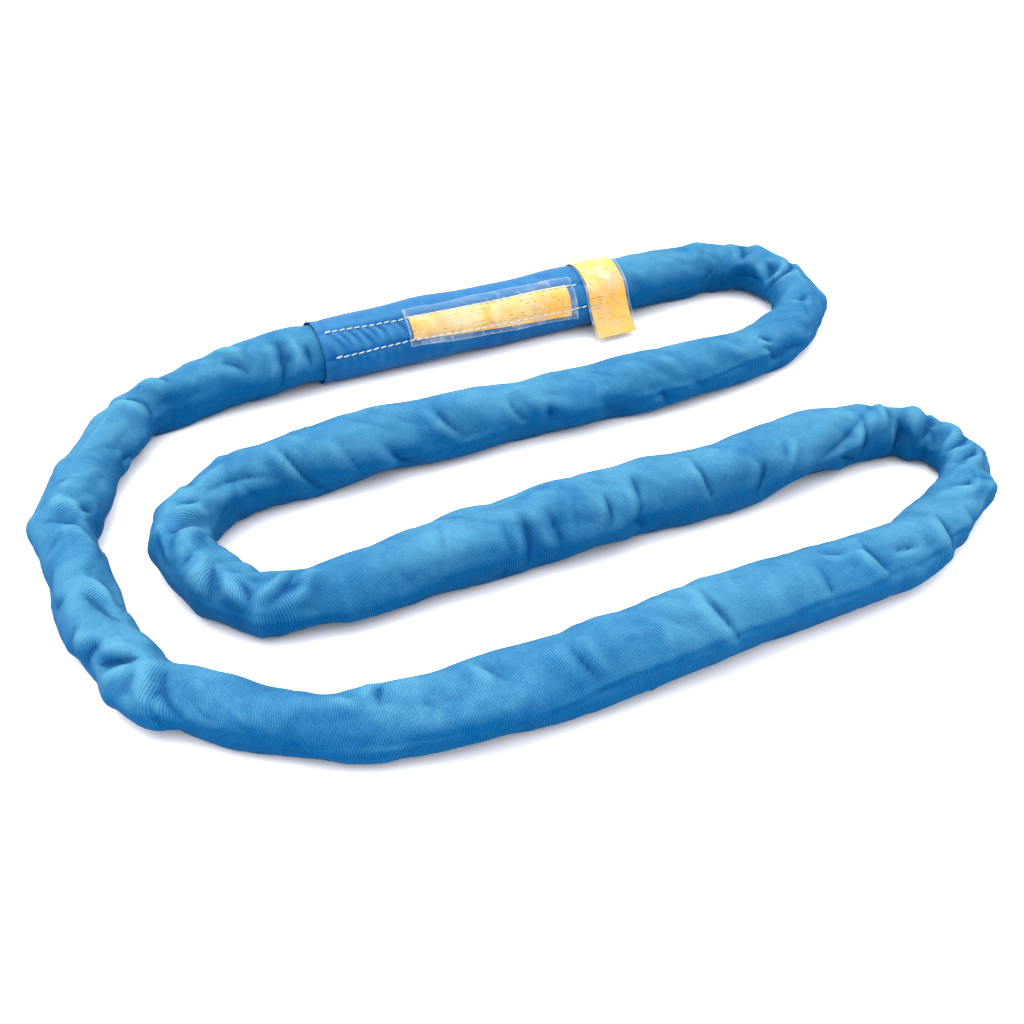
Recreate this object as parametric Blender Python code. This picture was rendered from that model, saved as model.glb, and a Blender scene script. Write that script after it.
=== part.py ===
"""Round sling: an endless polyester yarn core in a woven tubular cover, laid out in four runs.

Metres, +Z up. The sling lies on the plane z = 0, its long runs are parallel to X,
and the origin is the middle of its bounding box's underside.
"""

import math

import bmesh
import bpy
from mathutils import Vector

MM = 0.001

# Driving sizes
BODY_DIAMETER = 44 * MM
FABRIC = 1.2 * MM
GAP = 0.3 * MM

# The section is a little wider than high, and settles flat where it lies on the ground.
HALF_WIDTH = 0.53 * BODY_DIAMETER
HALF_HEIGHT = 0.47 * BODY_DIAMETER
SETTLED = 0.94
COVER_SIDES = 12

# Stations along the sling
MAX_STEP = 46 * MM
MAX_TURN = math.radians(17)
SAMPLES_PER_POINT = 24
SMOOTHING_ROUNDS = 60

# Places along the sling, measured from the joint sleeve's left edge
SLEEVE = (0 * MM, 240 * MM)
SLEEVE_LIFT = FABRIC + GAP
LIFT_RAMP = 45 * MM
COVER_END_GAP = 6 * MM
COVER_JOIN = 118 * MM
CARD = (67 * MM, 191 * MM)
CARD_WINDOW = (62 * MM, 196 * MM)
ROW_START = (5 * MM, 8 * MM)
ROW_END = 206 * MM
TAG = (207.5 * MM, 238 * MM)
TAG_WINDOW = (205.5 * MM, 240 * MM)
TAPE = (96 * MM, 140 * MM)

# Angles round the section: 0 is the side towards the loop's inside, 90 is the top
UPPER_ROW_ANGLE = 65
LOWER_ROW_ANGLE = 4
CARD_ANGLES = (10, 58)
CARD_WINDOW_ANGLES = (-1, 74)
HINGE_ANGLE = 110
TAG_ROOT_ANGLES = (112, 132)
TAG_STITCH_ANGLE = 124
FLAP_LEAVES_AT = 14
SEAM_ANGLES = (197, 207)

# Thicknesses and heights above the cover's outside
CARD_THICKNESS = 0.3 * MM
FILM = 0.4 * MM
THREAD_RADIUS = 0.45 * MM
SLEEVE_TOP = FABRIC + GAP
CARD_HEIGHT = SLEEVE_TOP + GAP
WINDOW_HEIGHT = CARD_HEIGHT + CARD_THICKNESS + GAP
FLAP_CARD_HEIGHT = SLEEVE_TOP + 2 * THREAD_RADIUS + 2 * GAP
FLAP_WINDOW_HEIGHT = FLAP_CARD_HEIGHT + CARD_THICKNESS + GAP
SEAM_THICKNESS = 0.9 * MM

# The endless yarn, as seven bundles of its turns
RING_BUNDLES = 6
BUNDLE_RADIUS = 5.5 * MM
BUNDLE_RING = 11.6 * MM

# The line that the sling's middle follows: x and y in millimetres, and the girth there
ROUTE = [
    (-84, 180, 0.99), (-41, 182, 1.01), (1, 183, 1.03), (44, 183, 1.03), (87, 184, 1.03),
    (129, 186, 1.02), (170, 190, 1.00), (210, 194, 0.95), (250, 194, 0.93), (279, 166, 0.93),
    (280, 119, 0.90), (254, 85, 0.86), (214, 66, 0.86), (172, 58, 0.88), (130, 55, 0.93),
    (87, 54, 0.95), (45, 54, 0.95), (3, 54, 0.97), (-40, 53, 0.99), (-82, 52, 1.00),
    (-124, 50, 1.03), (-166, 45, 1.03), (-205, 24, 0.96), (-225, -13, 0.92), (-215, -53, 0.90),
    (-189, -81, 0.86), (-149, -81, 0.86), (-106, -77, 0.94), (-64, -76, 1.00), (-21, -74, 1.03),
    (21, -73, 1.06), (63, -72, 1.03), (105, -69, 1.03), (148, -65, 0.99), (190, -61, 0.94),
    (232, -63, 0.83), (254, -96, 0.80), (237, -134, 0.82), (199, -160, 0.85), (160, -176, 0.94),
    (120, -184, 1.00), (78, -187, 1.04), (35, -189, 1.07), (-7, -192, 1.07), (-49, -195, 1.03),
    (-91, -198, 0.99), (-133, -196, 0.91), (-175, -186, 0.85), (-211, -168, 0.82),
    (-243, -143, 0.83), (-268, -111, 0.83), (-279, -71, 0.82), (-283, -29, 0.80),
    (-284, 13, 0.87), (-277, 54, 0.90), (-259, 93, 0.88), (-237, 129, 0.88), (-207, 158, 0.90),
    (-167, 171, 0.94), (-126, 177, 0.97),
]


def catmull_rom(before, start, end, after, t):
    """A value on the smooth curve from start to end, at t from 0 to 1."""
    return 0.5 * (
        2 * start
        + (end - before) * t
        + (2 * before - 5 * start + 4 * end - after) * t ** 2
        + (3 * start - before - 3 * end + after) * t ** 3
    )


def smooth_route():
    """Closely spaced (x, y, girth) vectors once round the sling."""
    points = [Vector((x * MM, y * MM, girth)) for x, y, girth in ROUTE]
    count = len(points)
    line = []
    for i in range(count):
        around = [points[(i + k) % count] for k in (-1, 0, 1, 2)]
        for step in range(SAMPLES_PER_POINT):
            line.append(catmull_rom(*around, step / SAMPLES_PER_POINT))
    for _ in range(SMOOTHING_ROUNDS):
        line = [(line[i - 1] + 2 * line[i] + line[(i + 1) % len(line)]) / 4 for i in range(len(line))]
    return line


LINE = smooth_route()
DISTANCES = [0.0]
for here, there in zip(LINE, LINE[1:] + LINE[:1]):
    DISTANCES.append(DISTANCES[-1] + (there.xy - here.xy).length)
LENGTH = DISTANCES[-1]


def on_line(distance):
    """(x, y, girth) at a distance along the sling."""
    distance = distance % LENGTH
    low, high = 0, len(LINE)
    while high - low > 1:
        middle = (low + high) // 2
        if DISTANCES[middle] <= distance:
            low = middle
        else:
            high = middle
    share = (distance - DISTANCES[low]) / (DISTANCES[low + 1] - DISTANCES[low])
    return LINE[low].lerp(LINE[(low + 1) % len(LINE)], share)


def direction(distance):
    """The unit vector along the sling at a distance."""
    reach = 2 * MM
    ahead = on_line(distance + reach).xy - on_line(distance - reach).xy
    return ahead.normalized()


def lift(distance):
    """How far the joint sleeve under it raises the cover from the ground."""
    middle = sum(SLEEVE) / 2
    from_middle = abs((distance - middle + LENGTH / 2) % LENGTH - LENGTH / 2)
    outside = from_middle - (SLEEVE[1] - SLEEVE[0]) / 2
    share = min(1.0, max(0.0, 1 - (outside - MAX_STEP) / LIFT_RAMP))
    return SLEEVE_LIFT * share


def frame_at(distance):
    """(point on the ground, unit vector to the loop's inside, girth, height of the axis)."""
    x, y, girth = on_line(distance)
    along = direction(distance)
    inward = Vector((along.y, -along.x, 0))
    height = lift(distance) + SETTLED * HALF_HEIGHT * girth
    return Vector((x, y, 0)), inward, girth, height


def section_point(distance, degrees, offset):
    """A point round the section, offset outward from the cover's outside."""
    ground, inward, girth, height = frame_at(distance)
    angle = math.radians(degrees)
    across = (HALF_WIDTH * girth + offset) * math.cos(angle)
    up = height + (HALF_HEIGHT * girth + offset) * math.sin(angle)
    up = max(up, lift(distance) - offset)
    return ground + inward * across + Vector((0, 0, up))


def stations(start, end):
    """Distances from start to end, closer together where the sling turns."""
    found = [start]
    while found[-1] < end:
        step = MAX_STEP
        while step > 8 * MM and direction(found[-1]).angle(direction(found[-1] + step)) > MAX_TURN:
            step -= 2 * MM
        found.append(found[-1] + step)
    scale = (end - start) / (found[-1] - start)
    return [start + (d - start) * scale for d in found]


def cover_stations():
    """The stations that the cover, its seam and the core share, from one cover end to the other."""
    start = COVER_JOIN + COVER_END_GAP / 2
    end = COVER_JOIN - COVER_END_GAP / 2 + LENGTH
    return stations(start, end)


def even(start, end, pieces):
    """pieces + 1 values from start to end."""
    return [start + (end - start) * i / pieces for i in range(pieces + 1)]


def material(name, colour, roughness, alpha=1.0):
    made = bpy.data.materials.new(name)
    made.use_nodes = True
    shader = made.node_tree.nodes["Principled BSDF"]
    shader.inputs["Base Color"].default_value = (*colour, 1)
    shader.inputs["Roughness"].default_value = roughness
    shader.inputs["Metallic"].default_value = 0.0
    shader.inputs["Alpha"].default_value = alpha
    made.diffuse_color = (*colour, alpha)
    return made


def woven_blue():
    return material("woven_blue", (0.035, 0.24, 0.56), 0.75)


def smooth_blue():
    return material("smooth_blue", (0.02, 0.17, 0.50), 0.6)


def white_yarn():
    return material("white_yarn", (0.80, 0.79, 0.74), 0.7)


def white_thread():
    return material("white_thread", (0.85, 0.85, 0.83), 0.6)


def yellow_card():
    return material("yellow_card", (0.95, 0.60, 0.09), 0.5)


def clear_film():
    return material("clear_film", (0.92, 0.94, 0.95), 0.15, alpha=0.35)


def tan_tape():
    return material("tan_tape", (0.60, 0.47, 0.28), 0.55)


def add_object(name, data, look):
    thing = bpy.data.objects.new(name, data)
    bpy.context.scene.collection.objects.link(thing)
    thing.data.materials.append(look)
    return thing


def grid_mesh(name, rows, close_rows=False):
    """A sheet through rows of points. Seen from its outer side, rows run left to right, points upwards."""
    bm = bmesh.new()
    made = [[bm.verts.new(point) for point in row] for row in rows]
    across = len(rows[0])
    spans = across if close_rows else across - 1
    for row, following in zip(made, made[1:]):
        for i in range(spans):
            k = (i + 1) % across
            bm.faces.new((row[i], following[i], following[k], row[k]))
    mesh = bpy.data.meshes.new(name)
    bm.to_mesh(mesh)
    bm.free()
    mesh.shade_smooth()
    return mesh


def thicken(thing, thickness, outward):
    solid = thing.modifiers.new("thickness", "SOLIDIFY")
    solid.thickness = thickness
    solid.offset = 1 if outward else -1
    solid.use_even_offset = True


def wrapped_tube(name, distances, offset, thickness, outward, look, sides=COVER_SIDES):
    """An open-ended tube of fabric round the sling."""
    angles = [360 * (i + 0.5) / sides for i in range(sides)]
    rows = [[section_point(d, a, offset) for a in angles] for d in distances]
    tube = add_object(name, grid_mesh(name, rows, close_rows=True), look)
    thicken(tube, thickness, outward)
    return tube


def patch(name, distances, angles, offset, thickness, look):
    """A sheet that follows the sling's outside."""
    rows = [[section_point(d, a, offset) for a in angles] for d in distances]
    sheet = add_object(name, grid_mesh(name, rows), look)
    thicken(sheet, thickness, outward=True)
    return sheet


def tube_along(name, points, radius, look, closed=False, girths=None, resolution=1):
    """A round strand through the points."""
    curve = bpy.data.curves.new(name, "CURVE")
    curve.dimensions = "3D"
    curve.bevel_depth = radius
    curve.bevel_resolution = resolution
    curve.use_fill_caps = not closed
    curve.resolution_u = 1
    curve.render_resolution_u = 0
    curve.twist_mode = "Z_UP"
    spline = curve.splines.new("POLY")
    spline.points.add(len(points) - 1)
    for i, point in enumerate(points):
        spline.points[i].co = (*point, 1)
        spline.points[i].radius = girths[i] if girths else 1.0
    spline.use_cyclic_u = closed
    spline.use_smooth = True
    return add_object(name, curve, look)


def core_bundle(name, ring_radius, degrees):
    """One endless bundle of the core yarn's turns."""
    distances = cover_stations()
    points = []
    girths = []
    for distance in distances:
        ground, inward, girth, height = frame_at(distance)
        across = ring_radius * girth * math.cos(math.radians(degrees))
        up = ring_radius * girth * math.sin(math.radians(degrees))
        points.append(ground + inward * across + Vector((0, 0, height + up)))
        girths.append(girth)
    return tube_along(name, points, BUNDLE_RADIUS, white_yarn(), closed=True, girths=girths)


def core():
    core_bundle("core_yarn_1", 0.0, 0)
    for i in range(RING_BUNDLES):
        core_bundle(f"core_yarn_{i + 2}", BUNDLE_RING, 360 * i / RING_BUNDLES)


def core_tape():
    """The tape round the bundles where the yarn's two ends are joined."""
    rows = []
    for distance in even(*TAPE, 2):
        ground, inward, girth, height = frame_at(distance)
        radius = (BUNDLE_RING + BUNDLE_RADIUS) * girth + GAP
        ring = []
        for i in range(COVER_SIDES):
            angle = math.radians(360 * i / COVER_SIDES)
            up = Vector((0, 0, height + radius * math.sin(angle)))
            ring.append(ground + inward * radius * math.cos(angle) + up)
        rows.append(ring)
    tape = add_object("core_join_tape", grid_mesh("core_join_tape", rows, close_rows=True), tan_tape())
    thicken(tape, CARD_THICKNESS, outward=True)


def cover():
    """The woven cover: one long tube whose two ends meet inside the joint sleeve."""
    wrapped_tube("cover", cover_stations(), 0.0, FABRIC, False, woven_blue())


def cover_seam():
    """The sewn lap that closes the cover along its length, low on the loop's outer side."""
    distances = [d for d in cover_stations() if SLEEVE[1] + GAP < d < SLEEVE[0] + LENGTH - GAP]
    patch("cover_seam", distances, SEAM_ANGLES, GAP, SEAM_THICKNESS, woven_blue())


def joint_sleeve():
    """The smooth fabric sleeve over the cover's two ends."""
    wrapped_tube("joint_sleeve", even(*SLEEVE, 6), GAP, FABRIC, True, smooth_blue())


def stitch_row(name, start, degrees):
    """A row of lock-stitch along the sleeve that climbs over the label's window."""
    low = SLEEVE_TOP + GAP + THREAD_RADIUS
    high = WINDOW_HEIGHT + FILM + GAP + THREAD_RADIUS
    climb = 2.4 * MM
    on_sleeve = even(start, CARD_WINDOW[0] - climb, 2)
    on_window = even(CARD_WINDOW[0] - GAP * 2, CARD_WINDOW[1] + GAP * 2, 6)
    points = [section_point(d, degrees, low) for d in on_sleeve]
    points += [section_point(d, degrees, high) for d in on_window]
    points += [section_point(d, degrees, low) for d in (CARD_WINDOW[1] + climb, ROW_END)]
    tube_along(name, points, THREAD_RADIUS, white_thread())


def label():
    """The yellow card and the clear window that is sewn down over it."""
    angles = even(*CARD_ANGLES, 4)
    patch("label_card", even(*CARD, 6), angles, CARD_HEIGHT, CARD_THICKNESS, yellow_card())
    angles = even(*CARD_WINDOW_ANGLES, 6)
    patch("label_window", even(*CARD_WINDOW, 6), angles, WINDOW_HEIGHT, FILM, clear_film())


def tag_root():
    """The sewn end of the tag, behind the sling's top, and its row of stitches."""
    angles = even(*TAG_ROOT_ANGLES, 2)
    patch("tag_root_card", even(*TAG, 2), angles, CARD_HEIGHT, CARD_THICKNESS, yellow_card())
    patch("tag_root_window", even(*TAG_WINDOW, 2), angles, WINDOW_HEIGHT, FILM, clear_film())
    height = WINDOW_HEIGHT + FILM + GAP + THREAD_RADIUS
    points = [section_point(d, TAG_STITCH_ANGLE, height) for d in even(*TAG, 2)]
    tube_along("tag_stitch", points, THREAD_RADIUS, white_thread())


def flap_rows(distances, height, tail):
    """Points of the tag's loose length: round the sling, then down and out in a curl."""
    rows = []
    for distance in distances:
        points = [
            section_point(distance, a, height) for a in even(FLAP_LEAVES_AT, HINGE_ANGLE - 2, 8)
        ]
        _, inward, _, _ = frame_at(distance)
        hang = points[0]
        for across, drop in tail:
            points.insert(0, hang + inward * across - Vector((0, 0, drop)))
        rows.append(points)
    return rows


def tag_flap():
    """The tag's loose length, which lifts about a line behind the sling's top."""
    tail = [(3.5 * MM, 7 * MM), (7.5 * MM, 13.5 * MM), (12 * MM, 19 * MM), (16.5 * MM, 22.5 * MM)]
    rows = flap_rows(even(*TAG, 2), FLAP_CARD_HEIGHT, tail)
    card = add_object("tag_flap_card", grid_mesh("tag_flap_card", rows), yellow_card())
    thicken(card, CARD_THICKNESS, outward=True)
    longer = tail + [(19 * MM, 23.3 * MM)]
    rows = flap_rows(even(*TAG_WINDOW, 2), FLAP_WINDOW_HEIGHT, longer)
    window = add_object("tag_flap_window", grid_mesh("tag_flap_window", rows), clear_film())
    thicken(window, FILM, outward=True)


def clear_scene():
    for thing in list(bpy.data.objects):
        bpy.data.objects.remove(thing)


def main():
    clear_scene()
    core()
    core_tape()
    cover()
    cover_seam()
    joint_sleeve()
    stitch_row("stitch_row_upper", ROW_START[0], UPPER_ROW_ANGLE)
    stitch_row("stitch_row_lower", ROW_START[1], LOWER_ROW_ANGLE)
    label()
    tag_root()
    tag_flap()


main()
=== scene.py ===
"""Looks of the round sling: folded woven cover, joint sleeve, vinyl-covered label and tag.

Everything is in metres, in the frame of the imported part: +Z up, the sling lying on z = 0.
Places on the sling are (distance, angle): the distance along it from the sleeve's left edge,
and the angle round its section, where 0 is the side towards the loop's inside and 90 the top.
"""

import math

import bpy
import numpy as np
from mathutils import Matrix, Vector


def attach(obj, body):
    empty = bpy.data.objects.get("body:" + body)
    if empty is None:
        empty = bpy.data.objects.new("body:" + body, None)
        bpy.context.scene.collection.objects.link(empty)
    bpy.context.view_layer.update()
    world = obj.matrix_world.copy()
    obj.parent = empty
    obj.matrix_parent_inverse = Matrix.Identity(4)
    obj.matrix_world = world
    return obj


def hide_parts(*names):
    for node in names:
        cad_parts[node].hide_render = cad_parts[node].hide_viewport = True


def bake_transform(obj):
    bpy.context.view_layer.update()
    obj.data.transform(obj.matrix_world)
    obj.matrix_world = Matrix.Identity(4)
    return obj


MM = 0.001

# ---------------------------------------------------------------- sizes of the sling

# The section is an ellipse, and its middle sits lower than its half height, settled on the ground
BODY_DIAMETER = 44 * MM
HALF_WIDTH = 0.53 * BODY_DIAMETER
HALF_HEIGHT = 0.47 * BODY_DIAMETER
SETTLED = 0.94
FABRIC = 1.2 * MM
GAP = 0.3 * MM
SAMPLES_PER_POINT = 24
SMOOTHING_ROUNDS = 60

SLEEVE = (0 * MM, 240 * MM)
SLEEVE_TOP = FABRIC + GAP
MAX_STEP = 46 * MM
LIFT_RAMP = 45 * MM
COVER_TUCK = 18 * MM
RING_STEP = 1.9 * MM
COVER_SIDES = 80
SLEEVE_STEP = 1.25 * MM
SLEEVE_SIDES = 120
SLEEVE_RIM = 0.5 * MM
COVER_UNDER_SLEEVE = 0.7 * MM
CREST_UNIT = 0.5 * MM

CARD = (67 * MM, 191 * MM)
VINYL = (64 * MM, 195.5 * MM)
TAG = (207.5 * MM, 238 * MM)
TAG_MARGIN = 2 * MM
HINGE_ANGLE = 110
TAG_BACK_ANGLE = 134
TAG_STITCH_ANGLE = 128
TAG_LEAVES_AT = 14

# Angles at the left and the right end, of edges that slope round the sleeve
CARD_LOW_EDGE = (15, -4)
CARD_HIGH_EDGE = (58, 55)
VINYL_LOW_EDGE = (5, -9)
VINYL_HIGH_EDGE = (70, 67)

# Stitch rows, upper and lower: (mm along, degrees round)
UPPER_ROW = [(5, 65), (64, 57), (194, 53), (206, 53)]
LOWER_ROW = [(8, 14), (64, 15), (194, 8), (206, 8)]

CARD_THICKNESS = 0.3 * MM
FILM = 0.4 * MM
THREAD = 0.5 * MM
STITCH = 4.6 * MM
TAG_STITCH = 3.6 * MM
STITCH_GAP = 0.9 * MM
STITCH_RINGS = 7
STITCH_SIDES = 6
BACK_TACK = 5 * MM
BACK_TACK_POINTS = 8

LABEL_ROWS = 110
LABEL_HEIGHT = 0.8 * MM
LABEL_RIPPLE = 0.2 * MM
TAG_HEIGHT = 0.3 * MM
TAG_RISE = 1.2 * MM
TAG_ROWS = 44
TAIL_ROWS = 26
TAG_COLUMNS = 28
TAG_SKEW = 2 * MM

CORE_BUNDLES = 7
CORE_RINGS = 420
BUNDLE_SIDES = 10
BUNDLE_RADIUS = 4.7 * MM
BUNDLES_FROM_MIDDLE = 10.2 * MM

# Seeds of the random draws
WRINKLE_SEED = 21
BEND_SEED = 31
PUCKER_SEED = 41
UPPER_ROW_SEED = 62
LOWER_ROW_SEED = 63
TAG_ROW_SEED = 81

# The route's points: (x mm, y mm, girth as a share of the body's)
ROUTE = [
    (-84, 180, 0.99), (-41, 182, 1.01), (1, 183, 1.03), (44, 183, 1.03), (87, 184, 1.03),
    (129, 186, 1.02), (170, 190, 1.00), (210, 194, 0.95), (250, 194, 0.93), (279, 166, 0.93),
    (280, 119, 0.90), (254, 85, 0.86), (214, 66, 0.86), (172, 58, 0.88), (130, 55, 0.93),
    (87, 54, 0.95), (45, 54, 0.95), (3, 54, 0.97), (-40, 53, 0.99), (-82, 52, 1.00),
    (-124, 50, 1.03), (-166, 45, 1.03), (-205, 24, 0.96), (-225, -13, 0.92), (-215, -53, 0.90),
    (-189, -81, 0.86), (-149, -81, 0.86), (-106, -77, 0.94), (-64, -76, 1.00), (-21, -74, 1.03),
    (21, -73, 1.06), (63, -72, 1.03), (105, -69, 1.03), (148, -65, 0.99), (190, -61, 0.94),
    (232, -63, 0.83), (254, -96, 0.80), (237, -134, 0.82), (199, -160, 0.85), (160, -176, 0.94),
    (120, -184, 1.00), (78, -187, 1.04), (35, -189, 1.07), (-7, -192, 1.07), (-49, -195, 1.03),
    (-91, -198, 0.99), (-133, -196, 0.91), (-175, -186, 0.85), (-211, -168, 0.82),
    (-243, -143, 0.83), (-268, -111, 0.83), (-279, -71, 0.82), (-283, -29, 0.80),
    (-284, 13, 0.87), (-277, 54, 0.90), (-259, 93, 0.88), (-237, 129, 0.88), (-207, 158, 0.90),
    (-167, 171, 0.94), (-126, 177, 0.97),
]

# Folds in the cover: from (mm along, degrees round) to (mm along, degrees round), then how far
# the middle bows along the sling, the fold's width and its depth, in mm. Below 0 is a ridge.
# All of them are made wider and deeper by the two shares, and fade out towards both ends.
FOLD_WIDENING = 1.05
FOLD_DEEPENING = 1.9
FOLD_TAPER = 1.2
FOLDS = [
    # upper run, right of the tag, into the upper right bight
    (250, 70, 272, -20, 0, 10, -1.5), (303, -20, 330, 30, 0, 9, 1.6), (352, 114, 362, 40, 0, 4.0, 2.6),
    (386, 66, 401, 28, 2, 4.5, 4.5), (340, -15, 398, 22, -3, 6.5, 4.0), (388, 122, 404, -10, 14, 3.2, 3.4),
    (404, 110, 416, 10, 12, 5.0, -1.8), (440, 104, 462, 68, 4, 3.6, 2.2),
    # second run
    (470, 195, 498, 140, 0, 6.0, -1.6), (500, 196, 521, 150, 5, 4.0, 2.0),
    (513, 142, 524, 110, 0, 2.8, 2.2), (515, 165, 526, 135, 0, 2.6, 1.8), (532, 160, 560, 78, 3, 6.0, -1.2),
    (590, 160, 606, 84, 0, 5.0, -1.0), (603, 212, 612, 168, 0, 3.0, 2.0), (572, 205, 590, 150, 0, 4.0, 1.1),
    (640, 205, 655, 150, 3, 4.0, 1.4), (692, 190, 695, 138, 0, 3.0, 2.1),
    (658, 168, 716, 82, 10, 6.0, -1.4), (704, 182, 720, 112, 4, 3.2, 1.9), (750, 180, 771, 88, 4, 3.2, 1.8),
    (758, 176, 780, 92, 4, 5.0, -1.1), (779, 227, 811, 130, 6, 4.0, 2.4),
    (789, 215, 822, 120, 6, 5.0, -1.3), (822, 205, 838, 110, 3, 3.6, 1.2), (845, 227, 876, 92, 6, 4.0, 2.5),
    (855, 195, 884, 92, 6, 5.0, -1.8), (898, 190, 914, 120, 3, 4.0, 1.4),
    # inner left bight
    (881, 164, 944, 110, -4, 5.0, 2.6), (966, 150, 976, 62, 4, 4.6, 5.6), (952, 150, 960, 80, 3, 4.5, -2.0),
    (943, 116, 959, 72, 2, 3.0, 2.2), (973, 52, 995, 28, 0, 3.0, 2.2), (984, 120, 992, 40, 3, 4.5, -1.6),
    (998, 115, 1004, 45, 2, 3.2, 1.6), (1013, 108, 1028, 8, 5, 3.4, 2.9),
    (1026, 100, 1038, 30, 2, 3.4, -1.8), (1036, 98, 1049, 32, 3, 3.0, 2.9),
    (1073, 124, 1052, 33, 0, 3.0, 2.4), (1082, 118, 1064, 30, 0, 5.0, -1.4),
    # third run
    (1120, 60, 1136, -20, 0, 6.0, 0.9), (1158, 110, 1150, 20, 0, 4.0, 0.8),
    (1189, 70, 1193, -10, 0, 3.4, 1.2), (1202, 76, 1199, -30, 2, 3.6, 2.8),
    (1208, 76, 1217, -24, -1, 4.0, -1.7), (1218, 72, 1224, -10, 0, 2.6, 1.7),
    (1256, 70, 1253, 2, 2, 3.0, 2.2), (1268, 14, 1282, -22, 0, 6.0, 2.6), (1277, 92, 1273, 0, 2, 3.0, 1.7),
    (1320, 100, 1326, -14, -2, 2.4, 2.0), (1365, 48, 1352, -22, 2, 4.0, 2.3),
    (1386, 70, 1376, 0, 0, 4.0, 1.3), (1398, 80, 1372, -8, 0, 4.0, -1.3), (1459, 96, 1397, 8, 6, 7.0, 2.2),
    (1464, 86, 1420, 0, 5, 7.0, -1.9), (1422, 6, 1442, -32, 0, 5.0, 3.2),
    (1452, 86, 1441, -36, 0, 4.0, 2.6),
    # right bight
    (1467, 116, 1462, 30, 2, 3.6, -2.4), (1481, 64, 1474, -36, 3, 5.0, 4.0),
    (1500, 124, 1502, 0, 3, 4.0, 4.6), (1488, 120, 1489, 20, 2, 4.5, -1.9),
    (1505, 62, 1517, 8, 2, 5.6, 3.8), (1516, 124, 1540, 28, 7, 3.6, 3.3),
    (1524, 120, 1550, 34, 7, 4.4, -2.0), (1531, 118, 1563, 50, 6, 3.2, 2.8),
    (1544, 116, 1574, 60, 5, 4.4, -1.6), (1562, 155, 1575, 98, 3, 3.0, 1.6),
    (1572, 108, 1592, 68, 5, 4.0, 2.8),
    # fourth run
    (1606, 190, 1612, 120, 0, 3.6, 1.5), (1631, 198, 1630, 95, 3, 3.6, 2.8),
    (1637, 196, 1642, 100, 3, 4.6, -1.5), (1657, 136, 1679, 122, 0, 2.2, 1.7),
    (1680, 168, 1690, 80, 4, 3.0, 2.3), (1688, 170, 1698, 92, 3, 4.6, -1.3),
    (1701, 100, 1719, 72, 2, 3.0, 2.1), (1721, 180, 1725, 88, 2, 3.2, 1.3),
    (1750, 196, 1762, 100, 3, 5.0, -0.9), (1782, 194, 1796, 68, 5, 3.0, 2.2),
    (1790, 190, 1805, 80, 5, 4.6, -1.4), (1808, 150, 1830, 96, 0, 5.0, 1.0),
    (1858, 184, 1871, 80, 3, 5.0, -1.3), (1866, 170, 1880, 78, 3, 3.6, 1.5),
    (1916, 110, 1932, 54, 3, 4.6, -1.3), (1910, 120, 1924, 60, 3, 3.4, 1.2),
    (1940, 150, 1962, 104, 0, 6.0, 0.9), (1977, 112, 1973, 52, 3, 3.0, 2.4),
    (1984, 112, 2007, 92, 0, 4.0, -1.3), (2052, 160, 2072, 110, 2, 4.6, 1.5),
    # outer left bend
    (2065, 180, 2091, 66, 6, 4.6, 3.0), (2076, 216, 2087, 112, 4, 5.0, 2.6),
    (2087, 160, 2098, 72, 4, 4.6, -1.9), (2105, 86, 2128, 152, 0, 3.0, 4.4),
    (2099, 90, 2119, 158, 0, 5.0, -1.7), (2114, 80, 2138, 128, 0, 5.0, -1.6),
    (2137, 198, 2132, 98, 2, 3.4, 3.1), (2146, 190, 2146, 110, 2, 4.6, -1.6),
    (2142, 50, 2177, 106, 3, 5.6, 3.8), (2160, 45, 2190, 100, 3, 5.0, -1.6),
    (2176, 120, 2184, 170, 0, 4.0, 1.4), (2226, 160, 2232, 105, 0, 3.6, 1.4),
    (2254, 140, 2236, 32, 4, 5.6, 4.2), (2266, 130, 2250, 40, 4, 5.0, -1.8),
    (2257, 64, 2264, 24, 0, 2.6, 1.9), (2240, 60, 2222, 16, 0, 4.0, 1.6),
    (2280, 140, 2290, 40, 3, 4.6, 1.1), (2330, 14, 2352, -14, 0, 5.0, 2.6),
    (2383, 126, 2388, 8, 5, 5.2, 4.2), (2398, 124, 2408, 30, 3, 4.4, -1.9),
    (2373, 110, 2374, 20, 3, 5.0, -1.4), (2409, 120, 2418, 42, 2, 3.6, 1.4),
    (2448, 124, 2473, 34, 6, 4.4, -1.7), (2453, 70, 2475, 16, 3, 4.0, 1.8),
    (2499, 96, 2490, -38, 4, 4.0, 3.1), (2508, 100, 2503, -30, 3, 4.0, -1.4),
    (2517, 60, 2518, -10, 0, 3.0, 2.0),
]

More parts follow.
